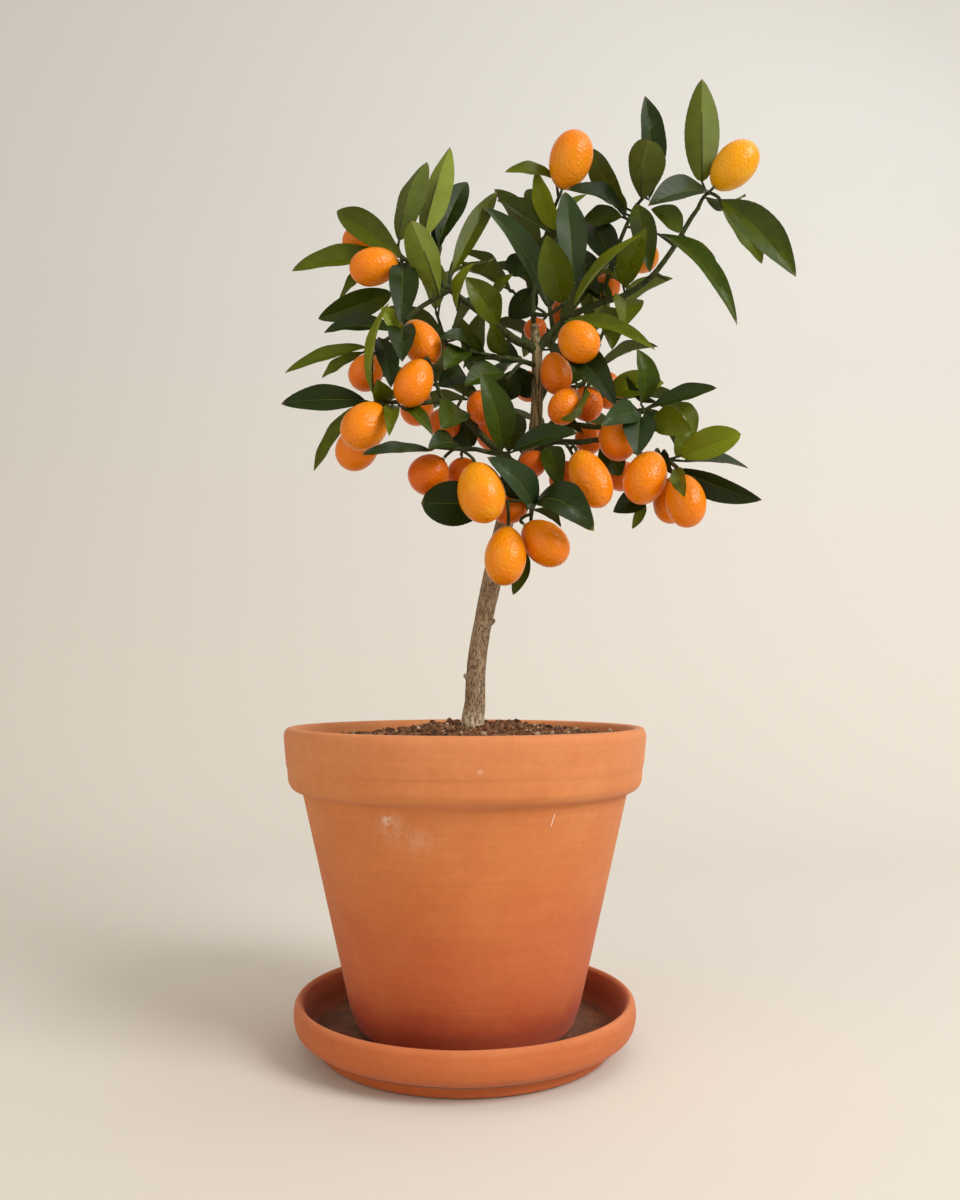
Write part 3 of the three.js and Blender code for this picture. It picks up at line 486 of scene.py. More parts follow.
def drawn(span: tuple[float, float], draw: Iterator[float]) -> float:
    """Draws a number from a span: (the least, what a draw adds at most)."""
    return span[0] + span[1] * next(draw)


@dataclass
class Leaf:
    """Where one leaf is, and how it stands."""

    base: Vector
    tip: Vector
    width: float
    turn: float
    bow: float
    tone: float = 0.4
    # The share of blue-grey painted reflection on the leaf
    bloom: float = 0.0
    outline: tuple[float, float] = (0.9, 0.78)

    def frame(self) -> tuple[Vector, Vector, Vector]:
        """Gives the directions along the blade, across it and out of its upper face."""
        along = (self.tip - self.base).normalized()
        to_eye = VIEW.eye - self.base.lerp(self.tip, 0.5)
        to_eye = (to_eye - along * to_eye.dot(along)).normalized()
        left = to_eye.cross(along)
        up = to_eye * math.cos(self.turn) + left * math.sin(self.turn)
        return along, along.cross(up), up

    @classmethod
    def seen(cls, row: Row, shift: float = 0.0) -> "Leaf":
        """A leaf that was measured in the view.

        Args:
            row: its row.
            shift: how much deeper its tip is than in the row, in mm.

        Returns:
            The leaf.
        """
        base, tip = VIEW.place(*row[:3]), VIEW.place(row[3], row[4], row[5] + shift)
        usual_bow = 0.09 * (tip - base).length
        bow = row[8] * MM if len(row) > 8 else usual_bow
        return cls(base, tip, row[6] * MM, math.radians(row[7]), bow)

    def swung(self, shift: float) -> "Leaf":
        """The leaf swung by a shift of its tip in mm, at its own length and with its face to the sky."""
        reach = self.tip - self.base
        tip = self.base + (reach + Vector((0.0, shift * MM, 0.0))).normalized() * reach.length
        flat = Leaf(self.base, tip, self.width, 0.0, self.bow, self.tone)
        along, _, up = flat.frame()
        sky = Vector((0.0, 0.2, 1.0))
        sky = (sky - along * sky.dot(along)).normalized()
        flat.turn = math.atan2(-along.dot(up.cross(sky)), up.dot(sky))
        return flat


@dataclass
class Fruit:
    """Where one fruit hangs."""

    name: str
    stalk_end: Vector
    far_end: Vector
    width: float
    ripeness: float

    @property
    def axis(self) -> Vector:
        """The direction from the stalk to the far end."""
        return (self.far_end - self.stalk_end).normalized()

    @property
    def length(self) -> float:
        """The distance from the stalk to the far end."""
        return (self.far_end - self.stalk_end).length


# The shifts of a tip in mm that the solids may have taken, as in their source
TIP_SHIFTS = (0, 6, -6, 12, -12, 18, -18, 24, -24, 30, -30, 36, -36)


@dataclass(frozen=True)
class LeafRule:
    """How leaves are placed along the limbs at the back, as in the solids' source.

    Lengths are in mm and angles in degrees. A pair is a span to draw from.
    """

    side_limb_start: float = 0.35
    spin: float = 0.6
    lean_at_root: float = 70
    lean_at_tip: float = 25
    lean_more: float = 20
    stalk: tuple[float, float] = (7, 3)
    blade: tuple[float, float] = (42, 12)
    width: tuple[float, float] = (16, 5)
    bow: float = 5
    tone: tuple[float, float] = (0.1, 0.5)


class BranchPlan:
    """A branch with every leaf and fruit put where its solid has it."""

    TONE_SPREAD = 0.16
    WIDEST = (0.84, 0.2)
    POINT = (0.72, 0.12)
    HIDDEN_RIPENESS = (0.75, 0.2)
    TIP_MISS = 0.4 * MM

    def __init__(self, branch: Branch) -> None:
        """Works the branch out.

        Args:
            branch: the rows of the branch.
        """
        self.branch = branch
        self.paths = [Path.of(limb.route) for limb in branch.limbs]
        self.draw = draws(sum(map(ord, branch.name)))
        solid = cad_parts[f"branch_{branch.name}"].data
        self.corners = np.array([vertex.co for vertex in solid.vertices])
        self.unmatched = 0
        self.leaves = self._row_leaves()
        self.leaves += [leaf for leaf in map(self._as_built, self._ruled_leaves()) if leaf]
        # Fillers take the darkest tone, which paints the shade in the gaps where they sit
        self.leaves += [self._toned(Leaf.seen(row), Tone.DARK) for row in branch.fillers]
        self.fruits = [self._fruit(index, row) for index, row in enumerate(branch.fruits)]

    def _toned(self, leaf: Leaf, tone: Tone) -> Leaf:
        """Gives a leaf its tone and its outline, which differ a little from leaf to leaf."""
        _, share, leaf.bloom = tone.value
        leaf.tone = share + self.TONE_SPREAD * (next(self.draw) - 0.5)
        leaf.outline = (drawn(self.WIDEST, self.draw), drawn(self.POINT, self.draw))
        return leaf

    def _row_leaves(self) -> list[Leaf]:
        """Reads the rows of leaves and puts each where its solid has it."""
        leaves: list[Leaf] = []
        for row, letter in zip(self.branch.leaves, self.branch.tones, strict=True):
            places = [Leaf.seen(row, shift) for shift in TIP_SHIFTS]
            leaves.append(self._toned(self._as_built(places) or places[0], Tone.of(letter)))
        for index, outline in self.branch.outlines.items():
            leaves[index].outline = outline
        return leaves

    def _ruled_leaves(self) -> list[list[Leaf]]:
        """Places leaves along the limbs by the golden angle, each with its possible places."""
        if not self.branch.rule:
            return []
        leaves, start, seed = self.branch.rule
        rule, draw = LeafRule(), draws(seed)
        golden_angle = math.pi * (3 - math.sqrt(5))
        lengths = [path.length() for path in self.paths]
        made: list[list[Leaf]] = []
        for index, path in enumerate(self.paths):
            count = math.floor(leaves * lengths[index] / sum(lengths) + 0.5)
            first = start if index == 0 else rule.side_limb_start
            for k in range(count):
                share = first + (1 - first) * (k + 1) / count
                along = path.heading(share)
                side = Vector((0.0, 0.0, 1.0)).cross(along).normalized()
                side.rotate(Quaternion(along, k * golden_angle + next(draw) * rule.spin))
                lean = rule.lean_at_root + (rule.lean_at_tip - rule.lean_at_root) * share
                lean = math.radians(drawn((lean, rule.lean_more), draw))
                heading = (along * math.cos(lean) + side * math.sin(lean)).normalized()
                base = path.at(share) + heading * drawn(rule.stalk, draw) * MM
                tip = base + heading * drawn(rule.blade, draw) * MM
                width = drawn(rule.width, draw) * MM
                leaf = Leaf(base, tip, width, 0.0, rule.bow * MM, drawn(rule.tone, self.draw))
                made.append([leaf.swung(shift) for shift in TIP_SHIFTS])
        return made

    def _as_built(self, places: Sequence[Leaf]) -> Leaf | None:
        """Finds a leaf in the branch's solid.

        Args:
            places: the places that the leaf may have been bent to.

        Returns:
            The leaf as the solid has it, or None if the solid shows no tip there.
        """
        misses = [np.linalg.norm(self.corners - np.array(leaf.tip), axis=1).min() for leaf in places]
        if min(misses) < self.TIP_MISS:
            return places[int(np.argmin(misses))]
        self.unmatched += 1
        return None

    def _fruit(self, index: int, row: Row) -> Fruit:
        """Reads one fruit's row."""
        name = f"kumquat_{self.branch.name}_{index + 1}"
        ripe = self.branch.ripe
        ripeness = ripe[index] if ripe else drawn(self.HIDDEN_RIPENESS, self.draw)
        return Fruit(name, VIEW.place(*row[:3]), VIEW.place(*row[3:6]), row[6] * MM, ripeness)

    def root_of(self, place: Vector) -> Vector:
        """Gives the point on the branch's limbs that is nearest to a place."""
        points = [point for path in self.paths for point in path.sample(60)[:-2]]
        return min(points, key=lambda point: (point - place).length)


# Laying out node trees
class Wire:
    """A node's output, which takes part in sums as a number does."""

    def __init__(self, sheet: "Sheet", socket: bpy.types.NodeSocket) -> None:
        """Keeps the output and the sheet that it is on."""
        self.sheet = sheet
        self.socket = socket

    def __add__(self, other: Value) -> "Wire":
        """Gives this plus another."""
        return self.sheet.math("ADD", self, other)

    def __radd__(self, other: Value) -> "Wire":
        """Gives another plus this."""
        return self.sheet.math("ADD", other, self)

    def __sub__(self, other: Value) -> "Wire":
        """Gives this less another."""
        return self.sheet.math("SUBTRACT", self, other)

    def __rsub__(self, other: Value) -> "Wire":
        """Gives another less this."""
        return self.sheet.math("SUBTRACT", other, self)

    def __mul__(self, other: Value) -> "Wire":
        """Gives this times another."""
        return self.sheet.math("MULTIPLY", self, other)

    def __truediv__(self, other: Value) -> "Wire":
        """Gives this over another."""
        return self.sheet.math("DIVIDE", self, other)

    def __pow__(self, other: Value) -> "Wire":
        """Gives this to the power of another."""
        return self.sheet.math("POWER", self, other)

    def __abs__(self) -> "Wire":
        """Gives this without its sign."""
        return self.sheet.math("ABSOLUTE", self)


class Sheet:
    """A node tree being laid out, with short calls for its nodes."""

    def __init__(self, tree: bpy.types.NodeTree) -> None:
        """Starts on a tree.

        Args:
            tree: the node tree to fill.
        """
        self.tree = tree
        self.entry: bpy.types.Node | None = None
        self.exit: bpy.types.Node | None = None

    def open(self, inputs: dict[str, Value], outputs: dict[str, Value]) -> None:
        """Gives a group its own sockets, and its entry and exit nodes.

        Args:
            inputs: a default, or else a type of socket, for each of its inputs.
            outputs: a type of socket for each of its outputs.
        """
        for way, sockets in (("INPUT", inputs), ("OUTPUT", outputs)):
            for label, value in sockets.items():
                kind = value if isinstance(value, str) else type(value).__name__.title()
                made = self.tree.interface.new_socket(label, in_out=way, socket_type=f"NodeSocket{kind}")
                if value != kind:
                    made.default_value = value
        self.entry = self.tree.nodes.new("NodeGroupInput")
        self.exit = self.tree.nodes.new("NodeGroupOutput")

    def inlet(self, label: str) -> Wire:
        """Gives one of the group's own inputs."""
        return Wire(self, self.entry.outputs[label])

    def close(self, result: Wire) -> bpy.types.NodeTree:
        """Feeds a result to the group's output and gives the tree."""
        self.feed(self.exit.inputs[0], result)
        return self.tree

    def feed(self, target: bpy.types.NodeSocket, value: Value) -> None:
        """Links a wire to a target, or sets the target to a plain value."""
        if isinstance(value, Wire):
            self.tree.links.new(value.socket, target)
        else:
            target.default_value = value

    def node(self, kind: str, inputs: Inputs | None = None, **settings: Value) -> bpy.types.Node:
        """Adds a node.

        Args:
            kind: the node's type.
            inputs: a plain value or a wire for each named or numbered input.
            settings: the node's own properties.

        Returns:
            The node.
        """
        node = self.tree.nodes.new(kind)
        for label, value in settings.items():
            setattr(node, label, value)
        for label, value in (inputs or {}).items():
            target = node.inputs[label] if isinstance(label, int) else next(
                item for item in node.inputs if item.name == label and item.enabled)
            self.feed(target, value)
        return node

    def add(self, kind: str, inputs: Inputs | None = None, output: str | int = 0, **settings: Value) -> Wire:
        """Adds a node as node does, and gives one of its outputs."""
        return Wire(self, self.node(kind, inputs, **settings).outputs[output])

    def math(self, operation: str, first: Value, second: Value = 0.0, clamp: bool = False) -> Wire:
        """Reckons with one or two numbers."""
        return self.add("ShaderNodeMath", {0: first, 1: second}, operation=operation, use_clamp=clamp)

    def vector(self, operation: str, first: Value, second: Value, output: str = "Vector") -> Wire:
        """Reckons with two vectors. The output called Value is the one that is a number."""
        return self.add("ShaderNodeVectorMath", {0: first, 1: second}, output, operation=operation)

    def scaled(self, vector: Value, scale: Value) -> Wire:
        """Gives a vector times a number."""
        return self.add("ShaderNodeVectorMath", {0: vector, "Scale": scale}, operation="SCALE")

    def total(self, *vectors: Value) -> Wire:
        """Gives the sum of vectors."""
        result = vectors[0]
        for vector in vectors[1:]:
            result = self.vector("ADD", result, vector)
        return result

    def split(self, vector: Wire) -> list[Wire]:
        """Gives the x, y and z of a vector."""
        return [Wire(self, output) for output in self.node("ShaderNodeSeparateXYZ", {0: vector}).outputs]

    def joined(self, x: Value, y: Value, z: Value) -> Wire:
        """Gives the vector of an x, a y and a z."""
        return self.add("ShaderNodeCombineXYZ", {0: x, 1: y, 2: z})


class GeometrySheet(Sheet):
    """A Geometry Nodes tree being laid out, with the steps that the trees share."""

    def __init__(self, name: str, inputs: dict[str, Value]) -> None:
        """Starts a tree.

        Args:
            name: the tree's name.
            inputs: a default, or else a type of socket, for each input besides Geometry.
        """
        super().__init__(bpy.data.node_groups.new(name, "GeometryNodeTree"))
        self.open({"Geometry": "Geometry", **inputs}, {"Geometry": "Geometry"})

    def position(self) -> Wire:
        """Gives the places of a mesh's points."""
        return self.add("GeometryNodeInputPosition")

    def attribute(self, label: str, kind: str = "FLOAT") -> Wire:
        """Reads a named attribute."""
        return self.add("GeometryNodeInputNamedAttribute", {"Name": label}, data_type=kind)

    def store(self, geometry: Wire, label: str, value: Value, domain: str = "POINT",
              kind: str = "FLOAT") -> Wire:
        """Stores a named attribute."""
        return self.add("GeometryNodeStoreNamedAttribute", {
            "Geometry": geometry, "Name": label, "Value": value}, domain=domain, data_type=kind)

    def random(self, seed: int, low: Value = 0.0, high: Value = 1.0) -> Wire:
        """Gives each point a random number, or a random vector where low and high are vectors."""
        is_vector = isinstance(low, tuple)
        return self.add("FunctionNodeRandomValue", {"Min": low, "Max": high, "Seed": seed},
                        0 if is_vector else 1, data_type=VECTOR if is_vector else "FLOAT")

    def grid(self, columns: Value, rows: Value) -> Wire:
        """Gives a flat grid, 1 m by 1 m."""
        return self.add("GeometryNodeMeshGrid", {
            "Size X": 1.0, "Size Y": 1.0, "Vertices X": columns, "Vertices Y": rows})

    def placed(self, geometry: Wire, position: Wire) -> Wire:
        """Puts a mesh's points at new places."""
        return self.add("GeometryNodeSetPosition", {"Geometry": geometry, "Position": position})

    def copies(self, instance: Wire, **more: Value) -> Wire:
        """Stands an instance on each point of the tree's input, or of the Points given."""
        return self.add("GeometryNodeInstanceOnPoints", {
            "Points": self.inlet("Geometry"), "Instance": instance, **more})

    def hung(self, instance: Wire, scale: Wire) -> Wire:
        """Hangs an instance on each point, with its Z axis along the attribute axis."""
        axis = self.attribute("axis", VECTOR)
        turn = self.add("FunctionNodeAlignRotationToVector", {"Vector": axis}, axis="Z")
        return self.copies(instance, Rotation=turn, Scale=scale)

    def realized(self, geometry: Wire) -> Wire:
        """Makes instances real."""
        return self.add("GeometryNodeRealizeInstances", {"Geometry": geometry})

    def welded(self, geometry: Wire) -> Wire:
        """Merges points that lie on each other."""
        return self.add("GeometryNodeMergeByDistance", {"Geometry": geometry, "Distance": WELD})

    def roughened(self, geometry: Wire, relief: Value, **texture: Value) -> Wire:
        """Moves a mesh's points in and out by noise.

        Args:
            geometry: the mesh.
            relief: the full height of the noise, in metres.
            texture: the inputs of the noise. Its vector is each point's place unless one is given.

        Returns:
            The roughened mesh.
        """
        bumps = self.add("ShaderNodeTexNoise", {"Vector": self.position(), **texture})
        offset = self.scaled(self.add("GeometryNodeInputNormal"), (bumps - 0.5) * relief)
        return self.add("GeometryNodeSetPosition", {"Geometry": geometry, "Offset": offset})

    def smooth(self, geometry: Wire, crease: float) -> Wire:
        """Shades a mesh smooth, apart from edges sharper than crease, in radians."""
        angle = self.add("GeometryNodeInputMeshEdgeAngle", output="Unsigned Angle")
        soft = self.add("GeometryNodeSetShadeSmooth", {0: geometry, "Shade Smooth": True}, domain="FACE")
        sharp = self.add("FunctionNodeCompare", {0: angle, 1: crease}, operation="GREATER_THAN")
        return self.store(soft, "sharp_edge", sharp, "EDGE", "BOOLEAN")

    def finish(self, geometry: Wire, *labels: str) -> bpy.types.NodeTree:
        """Ends a tree with Realize Instances and Set Material.

        Args:
            geometry: what the tree has made.
            labels: the tree's material inputs. A second one dresses the faces that are marked under.

        Returns:
            The tree.
        """
        dressed = self.add("GeometryNodeSetMaterial", {
            "Geometry": self.realized(geometry), "Material": self.inlet(labels[0])})
        for label in labels[1:]:
            dressed = self.add("GeometryNodeSetMaterial", {
                "Geometry": dressed, "Selection": self.attribute("under", "BOOLEAN"),
                "Material": self.inlet(label)})
        return self.close(dressed)


def in_scene(name: str, data: bpy.types.ID) -> bpy.types.Object:
    """Puts a new object into the scene."""
    made = bpy.data.objects.new(name, data)
    bpy.context.scene.collection.objects.link(made)
    return made


def grown(name: str, seed: bpy.types.Mesh, tree: bpy.types.NodeTree,
          inputs: dict[str, Value]) -> bpy.types.Object:
    """Runs a Geometry Nodes tree on a mesh and keeps the result as a plain mesh.

    Args:
        name: the name of the piece.
        seed: the mesh that the tree starts from.
        tree: the tree.
        inputs: a value for each of the tree's named inputs.

    Returns:
        The piece, at the origin, with no modifier.
    """
    holder = in_scene(f"{name}_seed", seed)
    modifier = holder.modifiers.new("grow", "NODES")
    modifier.node_group = tree
    for item in tree.interface.items_tree:
        if item.item_type == "SOCKET" and item.in_out == "INPUT" and item.name in inputs:
            modifier[item.identifier] = inputs[item.name]
    graph = bpy.context.evaluated_depsgraph_get()
    mesh = bpy.data.meshes.new_from_object(holder.evaluated_get(graph), preserve_all_data_layers=True,
                                           depsgraph=graph)
    bpy.data.objects.remove(holder)
    mesh.name = name
    return in_scene(name, mesh)


def point_mesh(name: str, points: Sequence[Vector], edges: Sequence[tuple[int, int]] = (),
               **attributes: Sequence[Value]) -> bpy.types.Mesh:
    """Makes a mesh of bare points, with edges and named attributes.

    Args:
        name: the mesh's name.
        points: the points.
        edges: pairs of points.
        attributes: for each name, one number or vector a point.

    Returns:
        The mesh.
    """
    mesh = bpy.data.meshes.new(name)
    mesh.from_pydata([tuple(point) for point in points], list(edges), [])
    for label, values in attributes.items():
        is_vector = isinstance(values[0], Vector)
        layer = mesh.attributes.new(label, VECTOR if is_vector else "FLOAT", "POINT")
        flat = np.array([tuple(value) if is_vector else value for value in values], np.float32).ravel()
        layer.data.foreach_set("vector" if is_vector else "value", flat)
    return mesh


# The trees of Geometry Nodes
class Trees:
    """The Geometry Nodes trees, each built once."""

    def __init__(self) -> None:
        """Builds the trees."""
        self.blades = self._blades()
        self.stems = self._stems()
        self.fruits = self._fruits()
        self.calyces = self._calyces()
        self.turned = self._turned()
        self.crumbs = self._crumbs()

    def _blades(self) -> bpy.types.NodeTree:
        """Grows a folded, bowed blade with a toothed edge on each point of a mesh.

        Returns:
            The tree. Each point has the attributes base, along, across, up, bow, widest, point,
            wave, phase, twist, tone and the share of blue-grey painted reflection.
        """
        sheet = GeometrySheet("leaf_blades", {
            "Steps Along": 28, "Steps Across": 4, "Thickness": 0.5 * MM, "Fold": 0.52, "Tooth Depth": 0.014,
            "Twist": 0.3, "Upper Finish": "Material", "Under Finish": "Material"})
        grid = sheet.grid(sheet.inlet("Steps Across") + 1, sheet.inlet("Steps Along") + 1)
        x, y, _ = sheet.split(sheet.position())
        grid = sheet.store(sheet.store(grid, "side", x * 2.0), "share", y + 0.5)
        blades = sheet.realized(sheet.copies(grid))
        middle, lift = self._blade_shape(sheet)
        upper = sheet.placed(blades, sheet.vector("ADD", middle, lift))
        under = sheet.placed(blades, sheet.vector("SUBTRACT", middle, lift))
        under = sheet.add("GeometryNodeFlipFaces", {"Mesh": under})
        under = sheet.store(under, "under", True, "FACE", "BOOLEAN")
        both = sheet.node("GeometryNodeJoinGeometry")
        for half in (upper, under):
            sheet.feed(both.inputs[0], half)
        closed = sheet.welded(Wire(sheet, both.outputs[0]))
        return sheet.finish(sheet.smooth(closed, 0.8), "Upper Finish", "Under Finish")

    def _blade_shape(self, sheet: GeometrySheet) -> tuple[Wire, Wire]:
        """Works out where each point of a blade goes.

        Args:
            sheet: the tree.

        Returns:
            The blade's middle surface, and half its thickness as a vector.
        """
        untwisted_at, fold_curve, edge_reach = 0.3, 1.15, 0.99
        ripple_rate, ripple_skew = 15.0, 1.3
        side, share = sheet.attribute("side"), sheet.attribute("share")
        across, up = sheet.attribute("across", VECTOR), sheet.attribute("up", VECTOR)
        reach = abs(side)
        outline = sheet.math("SINE", share ** sheet.attribute("widest") * math.pi)
        outline = sheet.math("MAXIMUM", outline, 0.0) ** sheet.attribute("point")
        half = sheet.add("ShaderNodeVectorMath", {0: across}, "Value", operation="LENGTH")
        row = sheet.math("ROUND", share * sheet.inlet("Steps Along"))
        at_edge = sheet.math("GREATER_THAN", reach, edge_reach)
        notch = sheet.math("MODULO", row, 2.0) * sheet.inlet("Tooth Depth") * at_edge
        turn = sheet.attribute("twist") * sheet.inlet("Twist") * (share - untwisted_at)
        swung = sheet.vector("ADD", sheet.scaled(across, sheet.math("COSINE", turn)),
                             sheet.scaled(up, half * sheet.math("SINE", turn)))
        arch = (1.0 - share) * share * 4.0 * sheet.attribute("bow")
        fold = reach ** fold_curve * sheet.inlet("Fold") * outline * half
        ripple = share * ripple_rate + sheet.attribute("phase") + side * ripple_skew
        ripple = sheet.math("SINE", ripple)
        ripple = ripple * sheet.attribute("wave") * outline * reach ** 2.0
        middle = sheet.total(
            sheet.attribute("base", VECTOR),
            sheet.scaled(sheet.attribute("along", VECTOR), share),
            sheet.scaled(swung, side * (outline * (1.0 - notch))),
            sheet.scaled(up, arch + fold + ripple))
        thin = (1.0 - reach ** 2.0) * (sheet.inlet("Thickness") * 0.5)
        return middle, sheet.scaled(up, thin)

    def _stems(self) -> bpy.types.NodeTree:
        """Grows round wood along chains of edges.

        Returns:
            The tree. Each point has the attributes girth and youth.
        """
        sheet = GeometrySheet("stems", {
            "Sides": 8, "Relief": 0.1 * MM, "Grain": 400.0, "Stretch": 0.4, "Finish": "Material"})
        curve = sheet.add("GeometryNodeMeshToCurve", {"Mesh": sheet.inlet("Geometry")})
        ring = sheet.add("GeometryNodeCurvePrimitiveCircle", {
            "Resolution": sheet.inlet("Sides"), "Radius": 1.0})
        tube = sheet.add("GeometryNodeCurveToMesh", {
            "Curve": curve, "Profile Curve": ring, "Scale": sheet.attribute("girth"), "Fill Caps": True})
        place = sheet.vector("MULTIPLY", sheet.position(), sheet.joined(1.0, 1.0, sheet.inlet("Stretch")))
        rough = sheet.roughened(tube, sheet.inlet("Relief"), Vector=place, Scale=sheet.inlet("Grain"),
                                Detail=3.0, Roughness=0.6)
        return sheet.finish(sheet.smooth(rough, 1.0), "Finish")

    def _fruits(self) -> bpy.types.NodeTree:
        """Grows an oval fruit on each point of a mesh.

        Returns:
            The tree. Each point has the attributes axis, size and ripeness.
        """
        sheet = GeometrySheet("fruits", {
            "Segments": 32, "Rings": 22, "Unevenness": 0.4 * MM, "Finish": "Material"})
        ball = sheet.add("GeometryNodeMeshUVSphere", {
            "Segments": sheet.inlet("Segments"), "Rings": sheet.inlet("Rings"), "Radius": 0.5})
        x, y, z = sheet.split(sheet.position())
        height = z * 2.0
        full = 1.0 + height * 0.08
        shaped = sheet.placed(sheet.store(ball, "height", height), sheet.joined(x * full, y * full, z))
        fruits = sheet.realized(sheet.hung(shaped, sheet.attribute("size", VECTOR)))
        uneven = sheet.roughened(fruits, sheet.inlet("Unevenness"), Scale=60.0, Detail=1.0)
        return sheet.finish(sheet.smooth(uneven, 1.2), "Finish")

    def _calyces(self) -> bpy.types.NodeTree:
        """Grows a small five-lobed calyx on each point of a mesh.

        Returns:
            The tree. Each point has the attribute axis, which points into the fruit.
        """
        sheet = GeometrySheet("calyces", {"Radius": 2.6 * MM, "Height": 2.6 * MM, "Finish": "Material"})
        cone = sheet.add("GeometryNodeMeshCone", {
            "Vertices": 20, "Side Segments": 3, "Radius Top": 1.0, "Radius Bottom": 0.36,
            "Depth": sheet.inlet("Height") / sheet.inlet("Radius")})
        x, y, z = sheet.split(sheet.position())
        lobes = 0.8 + sheet.math("COSINE", sheet.math("ARCTAN2", y, x) * 5.0) * 0.2
        shaped = sheet.placed(cone, sheet.joined(x * lobes, y * lobes, z))
        return sheet.finish(sheet.smooth(sheet.hung(shaped, sheet.inlet("Radius")), 0.8), "Finish")

    def _turned(self) -> bpy.types.NodeTree:
        """Turns a profile round the Z axis and gives it a slight unevenness.

        Returns:
            The tree. Its mesh is the profile's points, at y = 0.
        """
        sheet = GeometrySheet("turned_clay", {"Segments": 160, "Wobble": 0.2 * MM, "Finish": "Material"})
        profile = sheet.inlet("Geometry")
        rows = sheet.add("GeometryNodeAttributeDomainSize", {0: profile})
        grid = sheet.grid(sheet.inlet("Segments") + 1, rows)
        index = sheet.add("GeometryNodeInputIndex")
        column = sheet.math("FLOOR", (index + 0.5) / rows)
        row = sheet.math("ROUND", index - column * rows)
        corner = sheet.add("GeometryNodeSampleIndex", {
            "Geometry": profile, "Index": row, "Value": sheet.position()}, data_type=VECTOR)
        radius, _, height = sheet.split(corner)
        angle = column / sheet.inlet("Segments") * (2 * math.pi)
        x, y = radius * sheet.math("COSINE", angle), radius * sheet.math("SINE", angle)
        closed = sheet.welded(sheet.placed(grid, sheet.joined(x, y, height)))
        uneven = sheet.roughened(closed, sheet.inlet("Wobble"), Scale=14.0, Detail=2.0)
        return sheet.finish(sheet.smooth(uneven, 0.7), "Finish")

    def _crumbs(self) -> bpy.types.NodeTree:
        """Scatters rough crumbs over the faces of a mesh.

        Returns:
            The tree. It stores the attribute tone on each crumb.
        """
        sheet = GeometrySheet("crumbs", {
            "Density": 90000.0, "Smallest": 0.5 * MM, "Largest": 1.6 * MM, "Seed": 5, "Roughness": 0.8 * MM,
            "Finish": "Material"})
        smallest, largest = sheet.inlet("Smallest"), sheet.inlet("Largest")
        scatter = sheet.add("GeometryNodeDistributePointsOnFaces", {
            "Mesh": sheet.inlet("Geometry"), "Density": sheet.inlet("Density"), "Seed": sheet.inlet("Seed")})
        size = smallest + sheet.random(8) ** 2.5 * (largest - smallest)
        stretch = sheet.random(21, (0.6, 0.6, 0.5), (1.5, 1.2, 0.9))
        spin = sheet.random(34, (0.0, 0.0, 0.0), (6.2, 6.2, 6.2))
        crumb = sheet.add("GeometryNodeMeshIcoSphere", {"Radius": 1.0, "Subdivisions": 1})
        strewn = sheet.copies(
            crumb, Points=sheet.store(scatter, "tone", sheet.random(3)),
            Rotation=sheet.add("FunctionNodeEulerToRotation", {0: spin}), Scale=sheet.scaled(stretch, size))
        rough = sheet.roughened(sheet.realized(strewn), sheet.inlet("Roughness"), Scale=900.0)
        return sheet.finish(rough, "Finish")


# The shader groups that finishes share
class Effects:
    """Shader node groups that more than one finish uses, each built once. Each gives one number."""

    def __init__(self) -> None:
        """Builds the groups."""
        self.mottle = self._mottle()
        self.speckle = self._speckle()
        self.grain = self._grain()

    def _sheet(self, name: str, output: str, **inputs: float) -> Sheet:
        """Starts a group that has a vector and some numbers as its inputs."""
        sheet = Sheet(bpy.data.node_groups.new(name, "ShaderNodeTree"))
        sheet.open({"Vector": "Vector", **inputs}, {output: "Float"})
        return sheet

    def _clouds(self, sheet: Sheet, scale: Wire, **look: float) -> Wire:
        """Reads a noise at the group's own vector."""
        return sheet.add("ShaderNodeTexNoise", {"Vector": sheet.inlet("Vector"), "Scale": scale, **look})

    def _mottle(self) -> bpy.types.NodeTree:
        """Soft blotches."""
        sheet = self._sheet("mottle", "Mask", Scale=20.0, Contrast=2.0)
        clouds = self._clouds(sheet, sheet.inlet("Scale"), Detail=4.0, Roughness=0.6)
        return sheet.close(sheet.math("ADD", (clouds - 0.5) * sheet.inlet("Contrast"), 0.5, clamp=True))

    def _speckle(self) -> bpy.types.NodeTree:
        """Small spots, thinly spread."""
        sheet = self._sheet("speckle", "Mask", Scale=300.0, Size=0.2, Share=0.3)
        cells = sheet.node("ShaderNodeTexVoronoi", {
            "Vector": sheet.inlet("Vector"), "Scale": sheet.inlet("Scale")})
        near = sheet.math("LESS_THAN", Wire(sheet, cells.outputs["Distance"]), sheet.inlet("Size"))
        lot = sheet.add("ShaderNodeSeparateColor", {0: Wire(sheet, cells.outputs["Color"])})
        return sheet.close(near * sheet.math("LESS_THAN", lot, sheet.inlet("Share")))

    def _grain(self) -> bpy.types.NodeTree:
        """Fine relief of two sizes."""
        sheet = self._sheet("grain", "Height", Scale=300.0, Coarse=0.4)
        fine = self._clouds(sheet, sheet.inlet("Scale"), Detail=5.0, Roughness=0.65)
        coarse = self._clouds(sheet, sheet.inlet("Scale") * 0.15, Detail=2.0)
        return sheet.close(fine + (coarse - 0.5) * sheet.inlet("Coarse"))


